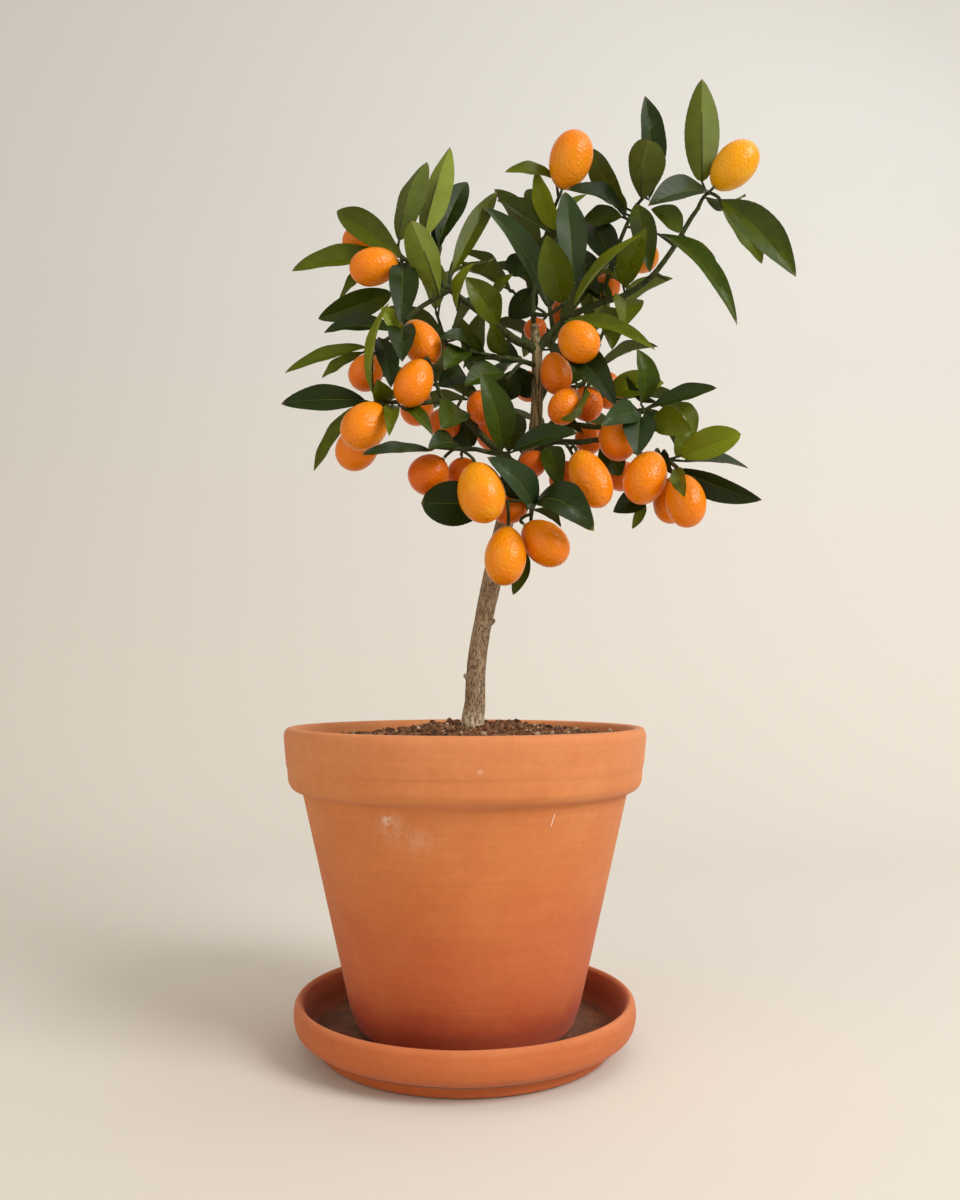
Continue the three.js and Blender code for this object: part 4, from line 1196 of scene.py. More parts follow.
class Finish(Sheet):
    """A material being laid out round one Principled shader."""

    def __init__(self, name: str, effects: Effects, **plain: Value) -> None:
        """Starts a material.

        Args:
            name: the material's name.
            effects: the shared groups.
            plain: plain values of the shader's sockets, with _ for a space.
        """
        self.material = bpy.data.materials.new(name)
        self.material.use_nodes = True
        super().__init__(self.material.node_tree)
        self.effects = effects
        self.shader = self.tree.nodes["Principled BSDF"]
        for label, value in plain.items():
            self.shader.inputs[label.replace("_", " ")].default_value = value
        self.place = self.add("ShaderNodeTexCoord", output="Object")

    def _use(self, group: bpy.types.NodeTree, scale: float, vector: Wire | None = None,
             **more: float) -> Wire:
        """Places a shared group, with the object's own coordinates unless others are given."""
        return self.add("ShaderNodeGroup", {"Vector": vector or self.place, "Scale": scale, **more},
                        node_tree=group)

    def mask(self, scale: float, contrast: float, vector: Wire | None = None) -> Wire:
        """Gives soft blotches, 0 to 1: scale to a metre, with edges as hard as contrast."""
        return self._use(self.effects.mottle, scale, vector, Contrast=contrast)

    def spots(self, scale: float, size: float, share: float) -> Wire:
        """Gives spots, 0 or 1: scale cells to a metre, a share of them with a spot of a size."""
        return self._use(self.effects.speckle, scale, Size=size, Share=share)

    def grain(self, scale: float, coarse: float, vector: Wire | None = None) -> Wire:
        """Gives relief: scale fine bumps to a metre, and coarse bumps as high as coarse."""
        return self._use(self.effects.grain, scale, vector, Coarse=coarse)

    def squeezed(self, across: float, upright: float) -> Wire:
        """Gives object coordinates that are scaled across and upright, so that patterns are drawn out."""
        return self.vector("MULTIPLY", self.place, (across, across, upright))

    def distance(self, vector: Wire, place: tuple[float, float, float]) -> Wire:
        """Gives how far a vector is from a place in mm, in metres."""
        return self.vector("DISTANCE", vector, tuple(value * MM for value in place), "Value")

    def read(self, label: str) -> Wire:
        """Reads a number stored on the mesh."""
        return self.add("ShaderNodeAttribute", output="Fac", attribute_name=label)

    def mix(self, share: Value, first: Value, second: Value, blend: str = "MIX") -> Wire:
        """Mixes two colours."""
        one, other = (opaque(value) if isinstance(value, tuple) else value for value in (first, second))
        return self.add("ShaderNodeMix", {0: share, 6: one, 7: other}, 2, data_type="RGBA", blend_type=blend)

    def between(self, value: Wire, low: float, high: float) -> Wire:
        """Gives how far a value is from low to high, smoothly, from 0 to 1."""
        return self.add("ShaderNodeMapRange", {0: value, 1: low, 2: high}, interpolation_type="SMOOTHSTEP")

    def ramp(self, value: Wire, stops: Stops) -> Wire:
        """Reads a colour off a ramp."""
        node = self.node("ShaderNodeValToRGB", {0: value})
        elements = node.color_ramp.elements
        while len(elements) < len(stops):
            elements.new(0.5)
        for element, (position, color) in zip(elements, stops):
            element.position = position
            element.color = opaque(color)
        return Wire(self, node.outputs[0])

    def give(self, label: str, value: Wire) -> None:
        """Feeds one of the shader's sockets."""
        self.feed(self.shader.inputs[label], value)

    def bump(self, height: Wire, strength: float, depth_mm: float) -> None:
        """Feeds a relief to the shader.

        Args:
            height: the relief, from 0 to 1.
            strength: how strongly it shows.
            depth_mm: its depth in millimetres.
        """
        self.give("Normal", self.add("ShaderNodeBump", {
            "Height": height, "Strength": strength, "Distance": depth_mm * MM}))


def opaque(color: Color) -> tuple[float, float, float, float]:
    """A colour with full alpha."""
    return (*color, 1.0)


# The finishes
@dataclass(frozen=True)
class Rub:
    """A pale rubbed place on the clay: its middle, its radius in mm, and how strongly it shows."""

    place: tuple[float, float, float]
    radius: float
    strength: float


@dataclass(frozen=True)
class Scratch:
    """A fine pale line on the clay, from one place in mm to another."""

    start: tuple[float, float, float]
    end: tuple[float, float, float]
    width: float = 0.7
    strength: float = 0.75


@dataclass(frozen=True)
class Terracotta:
    """Fired clay that changes with height, with throwing lines, rubbed places and scratches.

    A band is (height in mm, colour). Wander is how far the bands stray up and down, in mm. Inside
    the saucer dirt comes in over dirt_start, and gives way to the inner wall's darker colour, painted
    shade, over wall_start: two spans of height in mm.
    """

    name: str
    bands: Stops
    wander: float
    rubs: tuple[Rub, ...] = ()
    scratches: tuple[Scratch, ...] = ()
    inside_radius: float = 0.0
    chalk: Color = (0.80, 0.60, 0.48)
    # Painted shade: the saucer's inner wall is made darker than its outside
    inside_wall: Color = (0.30, 0.074, 0.024)
    dirt: Color = (0.11, 0.040, 0.014)
    dirt_pale: Color = (0.23, 0.078, 0.028)
    top_height: float = 200.0
    rub_core: float = 0.15
    dirt_fade: float = 4.0
    dirt_start: tuple[float, float] = (6.0, 8.5)
    wall_start: tuple[float, float] = (9.5, 12.5)

    def build(self, effects: Effects) -> bpy.types.Material:
        """Lays the material out.

        Args:
            effects: the shared groups.

        Returns:
            The material.
        """
        finish = Finish(self.name, effects, Roughness=0.78, Specular_IOR_Level=0.26, Sheen_Weight=0.08)
        clouds = finish.mask(17.0, 2.4)
        level = finish.split(finish.place)[2] + (clouds - 0.5) * (2 * self.wander * MM)
        stops = [(height / self.top_height, tint) for height, tint in self.bands]
        color = finish.ramp(level / (self.top_height * MM), stops)
        throwing = finish.mask(330.0, 2.0, finish.squeezed(0.05, 1.0))
        for share, dark, light in (
                (throwing, (0.95, 0.93, 0.91), (1.03, 1.04, 1.05)),
                (finish.mask(31.0, 2.6), (0.96, 0.90, 0.84), (1.02, 1.06, 1.08)),
                (finish.mask(210.0, 1.8), (0.93, 0.92, 0.90), (1.04, 1.04, 1.04))):
            color = finish.mix(1.0, color, finish.mix(share, dark, light), "MULTIPLY")
        color = self._marked(finish, color)
        if self.inside_radius:
            color = self._dirty_inside(finish, color)
        finish.give("Base Color", color)
        finish.bump(finish.grain(520.0, 0.5) + throwing * 0.7, 0.5, 0.22)
        finish.give("Roughness", 0.70 + clouds * 0.14)
        return finish.material

    def _marked(self, finish: Finish, color: Wire) -> Wire:
        """Adds the rubbed places and the scratches.

        Args:
            finish: the material being laid out.
            color: the colour so far.

        Returns:
            The colour with its marks.
        """
        worn = finish.mask(170.0, 5.0)
        for rub in self.rubs:
            away = finish.distance(finish.place, rub.place)
            fade = 1.0 - finish.between(away, self.rub_core * rub.radius * MM, rub.radius * MM)
            color = finish.mix(fade * rub.strength * worn, color, self.chalk)
        for scratch in self.scratches:
            start, end = Vector(scratch.start), Vector(scratch.end)
            aside = (end - start).cross(Vector((start.x, start.y, 0.0))).normalized()
            from_start = finish.vector("SUBTRACT", finish.place, tuple(start * MM))
            beside = finish.vector("DOT_PRODUCT", from_start, tuple(aside), "Value")
            away = finish.distance(finish.place, tuple(start.lerp(end, 0.5)))
            line = finish.math("LESS_THAN", abs(beside), scratch.width / 2 * MM)
            reach = finish.math("LESS_THAN", away, (end - start).length / 2 * MM)
            color = finish.mix(line * reach * scratch.strength, color, self.chalk)
        return color

    def _dirty_inside(self, finish: Finish, color: Wire) -> Wire:
        """Darkens the inside of the saucer: old peat and water on its floor, and painted shade on its inner
        wall.

        Args:
            finish: the material being laid out.
            color: the colour so far.

        Returns:
            The colour with dirt.
        """
        x, y, height = finish.split(finish.place)
        radius = finish.distance(finish.joined(x, y, 0.0), (0.0, 0.0, 0.0))
        edge = self.inside_radius * MM
        inner = 1.0 - finish.between(radius, edge - self.dirt_fade * MM, edge)
        above = finish.between(height, *(start * MM for start in self.dirt_start))
        patches = finish.mix(finish.mask(75.0, 3.4), self.dirt, self.dirt_pale)
        patches = finish.mix(finish.spots(330.0, 0.3, 0.3) * 0.8, patches, WET_PEAT)
        # Painted shade on the inner wall, above the dirt
        shaded_wall_share = finish.between(height, *(start * MM for start in self.wall_start))
        return finish.mix(inner * above, color, finish.mix(shaded_wall_share, patches, self.inside_wall))


@dataclass(frozen=True)
class Bark:
    """Bark: grey-brown and cracked on old wood, striped above it, and green on young twigs.

    Stripes come in over the span of youth stripe_start, and green over green_start. Pale flakes
    fade out between two heights in mm.
    """

    name: str = "bark"
    old: Color = (0.255, 0.165, 0.095)
    old_pale: Color = (0.47, 0.345, 0.215)
    crack: Color = (0.060, 0.032, 0.017)
    stripe: Color = (0.42, 0.34, 0.18)
    stripe_dark: Color = (0.075, 0.062, 0.022)
    young: Color = (0.070, 0.090, 0.022)
    young_dark: Color = (0.026, 0.030, 0.010)
    flake: Color = (0.74, 0.62, 0.42)
    flake_low: float = 193.0
    flake_high: float = 202.0
    crack_start: tuple[float, float] = (0.58, 0.9)
    stripe_start: tuple[float, float] = (0.15, 0.5)
    green_start: tuple[float, float] = (0.62, 0.8)

    def build(self, effects: Effects) -> bpy.types.Material:
        """Lays the material out.

        Args:
            effects: the shared groups.

        Returns:
            The material.
        """
        finish = Finish(self.name, effects, Roughness=0.8, Specular_IOR_Level=0.25)
        youth, height = finish.read("youth"), finish.split(finish.place)[2]
        long, longer = finish.squeezed(1.0, 0.30), finish.squeezed(1.0, 0.07)
        wood_mask = finish.mask(560.0, 3.2, long)
        cracks = finish.between(finish.mask(1500.0, 4.0, long), *self.crack_start)
        wood = finish.mix(cracks * 0.8, finish.mix(wood_mask, self.old, self.old_pale), self.crack)
        striped = finish.mix(finish.mask(620.0, 6.0, longer), self.stripe_dark, self.stripe)
        twig = finish.mix(finish.mask(420.0, 2.6, long), self.young_dark, self.young)
        color = finish.mix(finish.between(youth, *self.stripe_start), wood, striped)
        color = finish.mix(finish.between(youth, *self.green_start), color, twig)
        foot = 1.0 - finish.between(height, self.flake_low * MM, self.flake_high * MM)
        color = finish.mix(foot * (finish.mask(700.0, 9.0, long) * 0.9), color, self.flake)
        finish.give("Base Color", color)
        finish.bump(finish.grain(800.0, 0.8, long) - cracks, 0.8, 0.55)
        finish.give("Roughness", finish.between(wood_mask, -2.2, 1.2))
        return finish.material


@dataclass(frozen=True)
class LeafSkin:
    """One face of a leaf. Its colour runs with the leaf's tone, and its veins with its shares. A blue-grey
    tint paints the sky's reflection on glossy leaves.
    """

    name: str
    stops: Stops
    rib: Color
    rib_width: float
    gloss: float
    vein_light: float
    # The tint of the painted reflection of the sky
    blue: Color = (0.024, 0.044, 0.022)
    dry_tip: Color = (0.20, 0.11, 0.035)
    speck: Color = (0.30, 0.33, 0.22)
    veins: float = 9.0
    vein_slant: float = 1.5
    vein_sharpness: float = 11.0
    cloud_drift: float = 0.22
    edge_drift: float = -0.10
    dry_start: float = 0.95

    def build(self, effects: Effects) -> bpy.types.Material:
        """Lays the material out.

        Args:
            effects: the shared groups.

        Returns:
            The material.
        """
        finish = Finish(self.name, effects, Roughness=self.gloss, Specular_IOR_Level=0.15)
        share, side, tone, bloom = (finish.read(label) for label in ("share", "side", "tone", "bloom"))
        reach = abs(side)
        clouds = finish.mask(130.0, 1.6)
        drift = (clouds - 0.5) * self.cloud_drift + (reach - 0.5) * self.edge_drift
        # Painted reflection: the blue-grey tint stands in for the sky's sheen on glossy leaves
        color = finish.mix(bloom, finish.ramp(tone + drift, self.stops), self.blue)
        vein = self._veins(finish, share, reach)
        color = finish.mix(vein * self.vein_light, color, self.rib)
        width = (1.15 - share) * self.rib_width
        rib = finish.math("SUBTRACT", 1.0, reach / width, clamp=True)
        color = finish.mix(rib * 0.85, color, self.rib)
        tip = finish.between(share, self.dry_start, 1.0) * finish.mask(70.0, 9.0)
        color = finish.mix(tip, color, self.dry_tip)
        color = finish.mix(finish.spots(330.0, 0.14, 0.02) * 0.5, color, self.speck)
        finish.give("Base Color", color)
        finish.bump(clouds * 0.25 - (vein * 0.5 + rib), 0.5, 0.35)
        finish.give("Roughness", self.gloss - 0.06 + clouds * 0.12)
        return finish.material

    def _veins(self, finish: Finish, share: Wire, reach: Wire) -> Wire:
        """Side veins that leave the midrib at a slant and thin out before the edge."""
        run = share * self.veins - reach * self.vein_slant
        saw = abs(finish.math("FRACT", run) - 0.5)
        line = finish.math("SUBTRACT", 1.0, saw * self.vein_sharpness, clamp=True)
        return line * (1.0 - reach ** 2.0)


@dataclass(frozen=True)
class Peel:
    """Kumquat peel: orange, with oil glands, small blemishes and a scar where the flower was."""

    name: str = "peel"
    stops: Stops = (
        (0.0, (0.80, 0.37, 0.003)), (0.45, (0.79, 0.22, 0.001)), (1.0, (0.72, 0.125, 0.001)))
    blemish: Color = (0.40, 0.14, 0.01)
    scar_start: tuple[float, float] = (0.991, 0.998)
    glands_in_a_metre: float = 540.0

    def build(self, effects: Effects) -> bpy.types.Material:
        """Lays the material out.

        Args:
            effects: the shared groups.

        Returns:
            The material.
        """
        finish = Finish(self.name, effects, Roughness=0.36, Specular_IOR_Level=0.28)
        ripeness, height = finish.read("ripeness"), finish.read("height")
        clouds = finish.mask(70.0, 1.8)
        # Painted shade: the colour deepens towards the far end, the lower side of a hanging fruit
        color = finish.ramp(ripeness + (clouds - 0.5) * 0.3 + height * 0.10, self.stops)
        scar = finish.between(height, *self.scar_start) * 0.6
        for share in (scar, finish.spots(420.0, 0.22, 0.035) * 0.45):
            color = finish.mix(share, color, self.blemish)
        finish.give("Base Color", color)
        glands = finish.add("ShaderNodeTexVoronoi", {
            "Vector": finish.place, "Scale": self.glands_in_a_metre}, "Distance", feature="SMOOTH_F1")
        finish.bump(finish.between(glands, 0.0, 0.6), 0.75, 0.34)
        finish.give("Roughness", 0.24 + clouds * 0.12)
        return finish.material


@dataclass(frozen=True)
class Peat:
    """Dark peat with a few pale bits, by the tone stored on each crumb."""

    name: str
    stops: Stops = (
        (0.0, (0.055, 0.024, 0.011)), (0.5, (0.20, 0.088, 0.040)), (0.90, (0.34, 0.17, 0.085)),
        (0.95, (0.56, 0.42, 0.27)))
    by_crumb: bool = True

    def build(self, effects: Effects) -> bpy.types.Material:
        """Lays the material out.

        Args:
            effects: the shared groups.

        Returns:
            The material.
        """
        finish = Finish(self.name, effects, Roughness=0.95, Specular_IOR_Level=0.2)
        clouds = finish.mask(240.0, 2.4)
        color = finish.ramp(finish.read("tone") if self.by_crumb else clouds, self.stops)
        finish.give("Base Color", finish.mix(clouds * 0.4, color, WET_PEAT))
        finish.bump(finish.grain(900.0, 1.0), 0.8, 0.6)
        return finish.material


# The pieces
def settle(piece: bpy.types.Object, slot: str, *nodes: str) -> None:
    """Hides the solids that a finished piece stands for, hangs the piece on the root body and logs it.

    Args:
        piece: the piece.
        slot: not used.
        nodes: the solids that it stands for.
    """
    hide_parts(*nodes)
    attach(piece, ROOT)
    LOG.info("%s: %d faces for %s", piece.name, len(piece.data.polygons), ", ".join(nodes))


def rounded(corners: Sequence[tuple[float, float]], radius: float, steps: int = 4) -> list[Vector]:
    """Rounds the corners of a profile.

    Args:
        corners: radius and height of each corner, in mm.
        radius: how far from a corner its curve starts, in mm, where there is room.
        steps: points on each curve.

    Returns:
        The profile's points at y = 0, in metres.
    """
    points = [Vector((r, 0.0, z)) * MM for r, z in corners]
    most = 0.45
    result = [points[0]]
    for before, corner, after in zip(points, points[1:], points[2:]):
        back, on = before - corner, after - corner
        cut = min(radius * MM, back.length * most, on.length * most)
        start, end = corner + back.normalized() * cut, corner + on.normalized() * cut
        for k in range(steps + 1):
            share = k / steps
            result.append(start * (1 - share) ** 2 + corner * 2 * share * (1 - share) + end * share ** 2)
    return [*result, points[-1]]


@dataclass
class ClayWare:
    """The pot and the saucer. Sizes are in mm.

    They are the sizes of the solids, but the collar reaches 4.4 mm lower, as in the photograph.
    Lift keeps the saucer's uneven underside above the floor.
    """

    rim_radius: float = 110.0
    pot_height: float = 180.0
    collar_height: float = 37.4
    lip_width: float = 8.5
    lip_drop: float = 3.0
    wall: float = 8.0
    pot_foot_radius: float = 65.0
    floor_thickness: float = 11.0
    drain_radius: float = 9.0
    saucer_radius: float = 102.0
    saucer_height: float = 30.0
    saucer_floor: float = 9.0
    saucer_foot_radius: float = 85.0
    gap: float = 0.3
    lift: float = 0.15
    segments: int = 168
    wobble: float = 0.5
    pot_rounding: float = 2.4
    saucer_rounding: float = 3.0

    @property
    def pot_floor(self) -> float:
        """The height of the pot's underside."""
        return self.saucer_floor + self.gap

    @property
    def pot_top(self) -> float:
        """The height of the pot's rim."""
        return self.saucer_floor + self.pot_height

    def inner_wall(self, height: float) -> float:
        """The radius of the pot's inner wall at a height."""
        low, high = self.pot_floor + self.floor_thickness, self.pot_top - self.lip_drop
        low_radius, high_radius = self.pot_foot_radius - self.wall + 1, self.rim_radius - self.lip_width
        return low_radius + (high_radius - low_radius) * (height - low) / (high - low)

    def pot_profile(self) -> list[Vector]:
        """The pot's section, all the way round."""
        rim, top, foot, floor = self.rim_radius, self.pot_top, self.pot_foot_radius, self.pot_floor
        collar, lip = top - self.collar_height, top - self.lip_drop
        inner_floor = floor + self.floor_thickness
        corners = [
            (self.drain_radius, floor + 5), (self.drain_radius, floor), (foot - 6, floor), (foot, floor + 5),
            (foot + 4.5, floor + 17), (rim - 12, collar - 2.5), (rim - 11.4, collar - 0.4),
            (rim - 6, collar + 1.0), (rim - 3.2, collar + 5), (rim - 2.6, collar + 12),
            (rim - 2.5, collar + 13.4), (rim - 1.8, collar + 15.4), (rim - 0.9, collar + 24),
            (rim, top - 4), (rim - 1.6, top), (rim - self.lip_width + 2, top),
            (self.inner_wall(lip), lip), (self.inner_wall(inner_floor), inner_floor),
            (self.drain_radius, inner_floor), (self.drain_radius, floor + 5)]
        return rounded(corners, self.pot_rounding)

    def saucer_profile(self) -> list[Vector]:
        """The saucer's section, from the middle of its underside to the middle of its floor."""
        radius, height, foot = self.saucer_radius, self.saucer_height, self.saucer_foot_radius
        floor, low = self.saucer_floor, self.lift
        corners = [
            (0, low), (foot, low), (foot + 2.4, 1.4), (foot + 3, 6), (foot + 4.2, 6.6), (radius - 5, 10.5),
            (radius - 1.6, 13.5), (radius - 0.2, 19), (radius, height - 8), (radius - 0.6, height - 2.6),
            (radius - 3, height), (radius - 5.5, height - 2), (radius - 9, 14), (radius - 13, floor),
            (0, floor)]
        return rounded(corners, self.saucer_rounding)

    def build(self, turned: bpy.types.NodeTree, effects: Effects) -> None:
        """Makes and dresses the pot and the saucer.

        Args:
            turned: the tree that turns a profile.
            effects: the shared groups.
        """
        pot_clay = Terracotta(
            "pot_clay", (
                (18, (0.45, 0.074, 0.027)), (33, (0.49, 0.090, 0.030)), (41, (0.55, 0.125, 0.038)),
                (80, (0.55, 0.148, 0.045)), (90, (0.575, 0.165, 0.047)), (124, (0.60, 0.192, 0.056)),
                (160, (0.62, 0.220, 0.072)), (190, (0.64, 0.240, 0.090))),
            wander=9.0,
            rubs=(Rub((-39.6, -87.5, 142.8), 5.0, 0.95), Rub((-37.0, -87.5, 139.5), 13.0, 0.22),
                  Rub((-23.0, -90.0, 133.0), 11.0, 0.16), Rub((9.0, -108.0, 170.3), 2.6, 0.35)),
            scratches=(Scratch((48.6, -83.9, 147.0), (46.5, -83.2, 140.1)),))
        saucer_clay = Terracotta(
            "saucer_clay", (
                (0, (0.51, 0.125, 0.034)), (9, (0.51, 0.128, 0.035)), (14, (0.52, 0.138, 0.039)),
                (26, (0.53, 0.145, 0.044)), (30, (0.58, 0.19, 0.070))),
            wander=1.5, inside_radius=self.saucer_radius - 5)
        for name, profile, clay in (("pot", self.pot_profile(), pot_clay),
                                    ("saucer", self.saucer_profile(), saucer_clay)):
            piece = grown(f"{name}_fired", point_mesh(name, profile), turned, {
                "Segments": self.segments, "Wobble": self.wobble * MM, "Finish": clay.build(effects)})
            point_outward(piece.data)
            settle(piece, f"{name}_clay", name)


def point_outward(mesh: bpy.types.Mesh) -> None:
    """Turns a closed mesh's faces outward if they all face inward."""
    mesh.calc_loop_triangles()
    points = np.array([vertex.co for vertex in mesh.vertices])
    corners = np.array([triangle.vertices[:] for triangle in mesh.loop_triangles])
    a, b, c = points[corners[:, 0]], points[corners[:, 1]], points[corners[:, 2]]
    if np.einsum("ij,ij->i", a, np.cross(b, c)).sum() < 0:
        mesh.flip_normals()


@dataclass
class SoilBed:
    """The soil, mounded round the trunk, with crumbs strewn on it. Sizes are in mm.

    Foot is the place of the picture where the trunk meets the soil.
    """

    ware: ClayWare
    foot: Row = (473, 727, 0)
    drop: float = 8.0
    mound_height: float = 11.0
    mound_radius: float = 56.0
    dip_depth: float = 6.0
    dip_radius: float = 15.0
    dip_forward: float = 8.0
    tilt: float = 0.015
    wave_height: float = 1.2
    smallest_crumb: float = 0.5
    largest_crumb: float = 2.2
    crumbs_per_square_metre: float = 200000.0
    rings: int = 56
    spokes: int = 120

    def surface(self, x: float, y: float) -> float:
        """Gives the soil's height at a place, in mm."""
        foot = VIEW.place(*self.foot) / MM
        away = math.hypot(x - foot.x, y - foot.y) / self.mound_radius
        washed = math.hypot(x - foot.x, y - foot.y + self.dip_forward) / self.dip_radius
        mound = self.mound_height * math.exp(-away * away) - self.dip_depth * math.exp(-washed * washed)
        # Waves some 20 mm long, and then lumps and grit from noise
        waves = math.sin(x * 0.31 + 1.2) * math.sin(y * 0.27) + 0.6 * math.sin(x * 0.13 - y * 0.21)
        rough = 1.1 * noise.noise(Vector((x, y, 0.0)) * 0.16) + 0.6 * noise.noise(Vector((x, y, 9.0)) * 0.5)
        return self.ware.pot_top - self.drop + mound + x * self.tilt + self.wave_height * waves + rough

    def _ring(self, radius: float) -> list[tuple[float, float]]:
        """Gives the x and y of the points of one ring."""
        angles = [2 * math.pi * spoke / self.spokes for spoke in range(self.spokes)]
        return [(radius * math.cos(angle), radius * math.sin(angle)) for angle in angles]

    def build(self, strewn: bpy.types.NodeTree, effects: Effects) -> None:
        """Makes and dresses the root ball and its crumbs.

        Args:
            strewn: the tree that scatters crumbs.
            effects: the shared groups.
        """
        ware = self.ware
        edge = ware.inner_wall(ware.pot_top - self.drop) - ware.gap
        bottom = ware.pot_floor + ware.floor_thickness + ware.gap
        top = [(0.0, 0.0)]
        for ring in range(1, self.rings + 1):
            top += self._ring(edge * ring / self.rings)
        points = [Vector((x, y, self.surface(x, y))) for x, y in top]
        base = [*self._ring(ware.inner_wall(bottom) - ware.gap - 1), (0.0, 0.0)]
        whole = points + [Vector((x, y, bottom)) for x, y in base]
        mesh = self._mesh("soil_bed", whole, self._faces(len(whole) - 1))
        mesh.materials.append(Peat("peat", by_crumb=False).build(effects))
        mesh.shade_smooth()
        settle(in_scene("soil_bed", mesh), "peat", "soil")
        faces = [face for face in self._faces(0) if len(face) == 4 and max(face) < len(points)]
        crumbs = grown("soil_crumbs", self._mesh("soil_top", points, faces), strewn, {
            "Density": self.crumbs_per_square_metre, "Smallest": self.smallest_crumb * MM,
            "Largest": self.largest_crumb * MM, "Finish": Peat("peat_crumbs").build(effects)})
        settle(crumbs, "peat", "soil")

    def _mesh(self, name: str, points: Sequence[Vector], faces: Sequence[tuple[int, ...]]) -> bpy.types.Mesh:
        """Gives points in mm and their faces as a mesh."""
        mesh = bpy.data.meshes.new(name)
        mesh.from_pydata([tuple(point * MM) for point in points], [], faces)
        return mesh

    def _faces(self, last: int) -> list[tuple[int, ...]]:
        """Lists the faces of the root ball.

        Args:
            last: the number of the point in the middle of its underside.

        Returns:
            The faces.
        """
        faces: list[tuple[int, ...]] = []
        for k in range(self.spokes):
            after = (k + 1) % self.spokes
            faces.append((0, 1 + k, 1 + after))
            for ring in range(self.rings):
                inner, outer = 1 + ring * self.spokes, 1 + (ring + 1) * self.spokes
                faces.append((inner + k, outer + k, outer + after, inner + after))
            bottom = 1 + self.rings * self.spokes
            faces.append((bottom + k, last, bottom + after))
        return faces


@dataclass
class Wood:
    """Stems, petioles and stalks as chains of points with a girth and a youth."""

    points: list[Vector] = field(default_factory=list)
    edges: list[tuple[int, int]] = field(default_factory=list)
    girths: list[float] = field(default_factory=list)
    youths: list[float] = field(default_factory=list)

    def add(self, points: Sequence[Vector], girths: Sequence[float],
            youths: Sequence[float] | None = None) -> None:
        """Adds one chain.

        Args:
            points: its points.
            girths: its radius in metres at each point.
            youths: from 0 for old bark to 1 for green, at each point. It is green unless they are given.
        """
        first = len(self.points)
        self.points += points
        self.girths += girths
        self.youths += youths or [1.0] * len(points)
        self.edges += [(first + k, first + k + 1) for k in range(len(points) - 1)]

    def grow(self, name: str, tree: bpy.types.NodeTree, bark: bpy.types.Material,
             **look: float) -> bpy.types.Object:
        """Grows the chains.

        Args:
            name: the name of the piece.
            tree: the tree that grows wood.
            bark: the bark.
            look: the tree's inputs Sides, Relief in metres, Grain and Stretch.

        Returns:
            The piece.
        """
        seed = point_mesh("wood", self.points, self.edges, girth=self.girths, youth=self.youths)
        return grown(name, seed, tree, {**look, "Finish": bark})


def limb_chain(limb: Limb, path: Path, fewest: int, step: float) -> tuple[list[Vector], list[float]]:
    """Gives the points and girths of a limb.

    Args:
        limb: the limb.
        path: its route in space.
        fewest: how many steps it has at least.
        step: about how long a step is, in mm.

    Returns:
        The points, and the radius in metres at each.
    """
    count = max(fewest, round(path.length() / MM / step))
    return path.sample(count), [radius_at(limb.radii, k / count) for k in range(count + 1)]


@dataclass
class Trunk:
    """The trunk with its fork and its pruned stubs. Sizes are in mm.

    Its bark is old up to the height old_top, and grows younger over the next young_run.
    """

    step: float = 1.6
    sides: int = 26
    relief: float = 0.9
    twig_radius: float = 3.2
    old_top: float = 330.0
    young_run: float = 60.0
    most_youth: float = 0.6
    fewest_steps: int = 6

    def _youth(self, height: float) -> float:
        """Gives the youth of the bark at a height."""
        return min(1.0, max(0.0, (height - self.old_top) / self.young_run)) * self.most_youth

    def build(self, stems: bpy.types.NodeTree, bark: bpy.types.Material) -> None:
        """Makes and dresses the trunk.

        Args:
            stems: the tree that grows wood.
            bark: the bark.
        """
        wood = Wood()
        for limb in TRUNK:
            points, girths = limb_chain(limb, Path.of(limb.route), self.fewest_steps, self.step)
            thin = max(limb.radii) < self.twig_radius
            wood.add(points, girths, [1.0 if thin else self._youth(point.z / MM) for point in points])
        piece = wood.grow("trunk_bark", stems, bark, Sides=self.sides, Relief=self.relief * MM,
                          Grain=330.0, Stretch=0.3)
        settle(piece, "bark", "trunk")


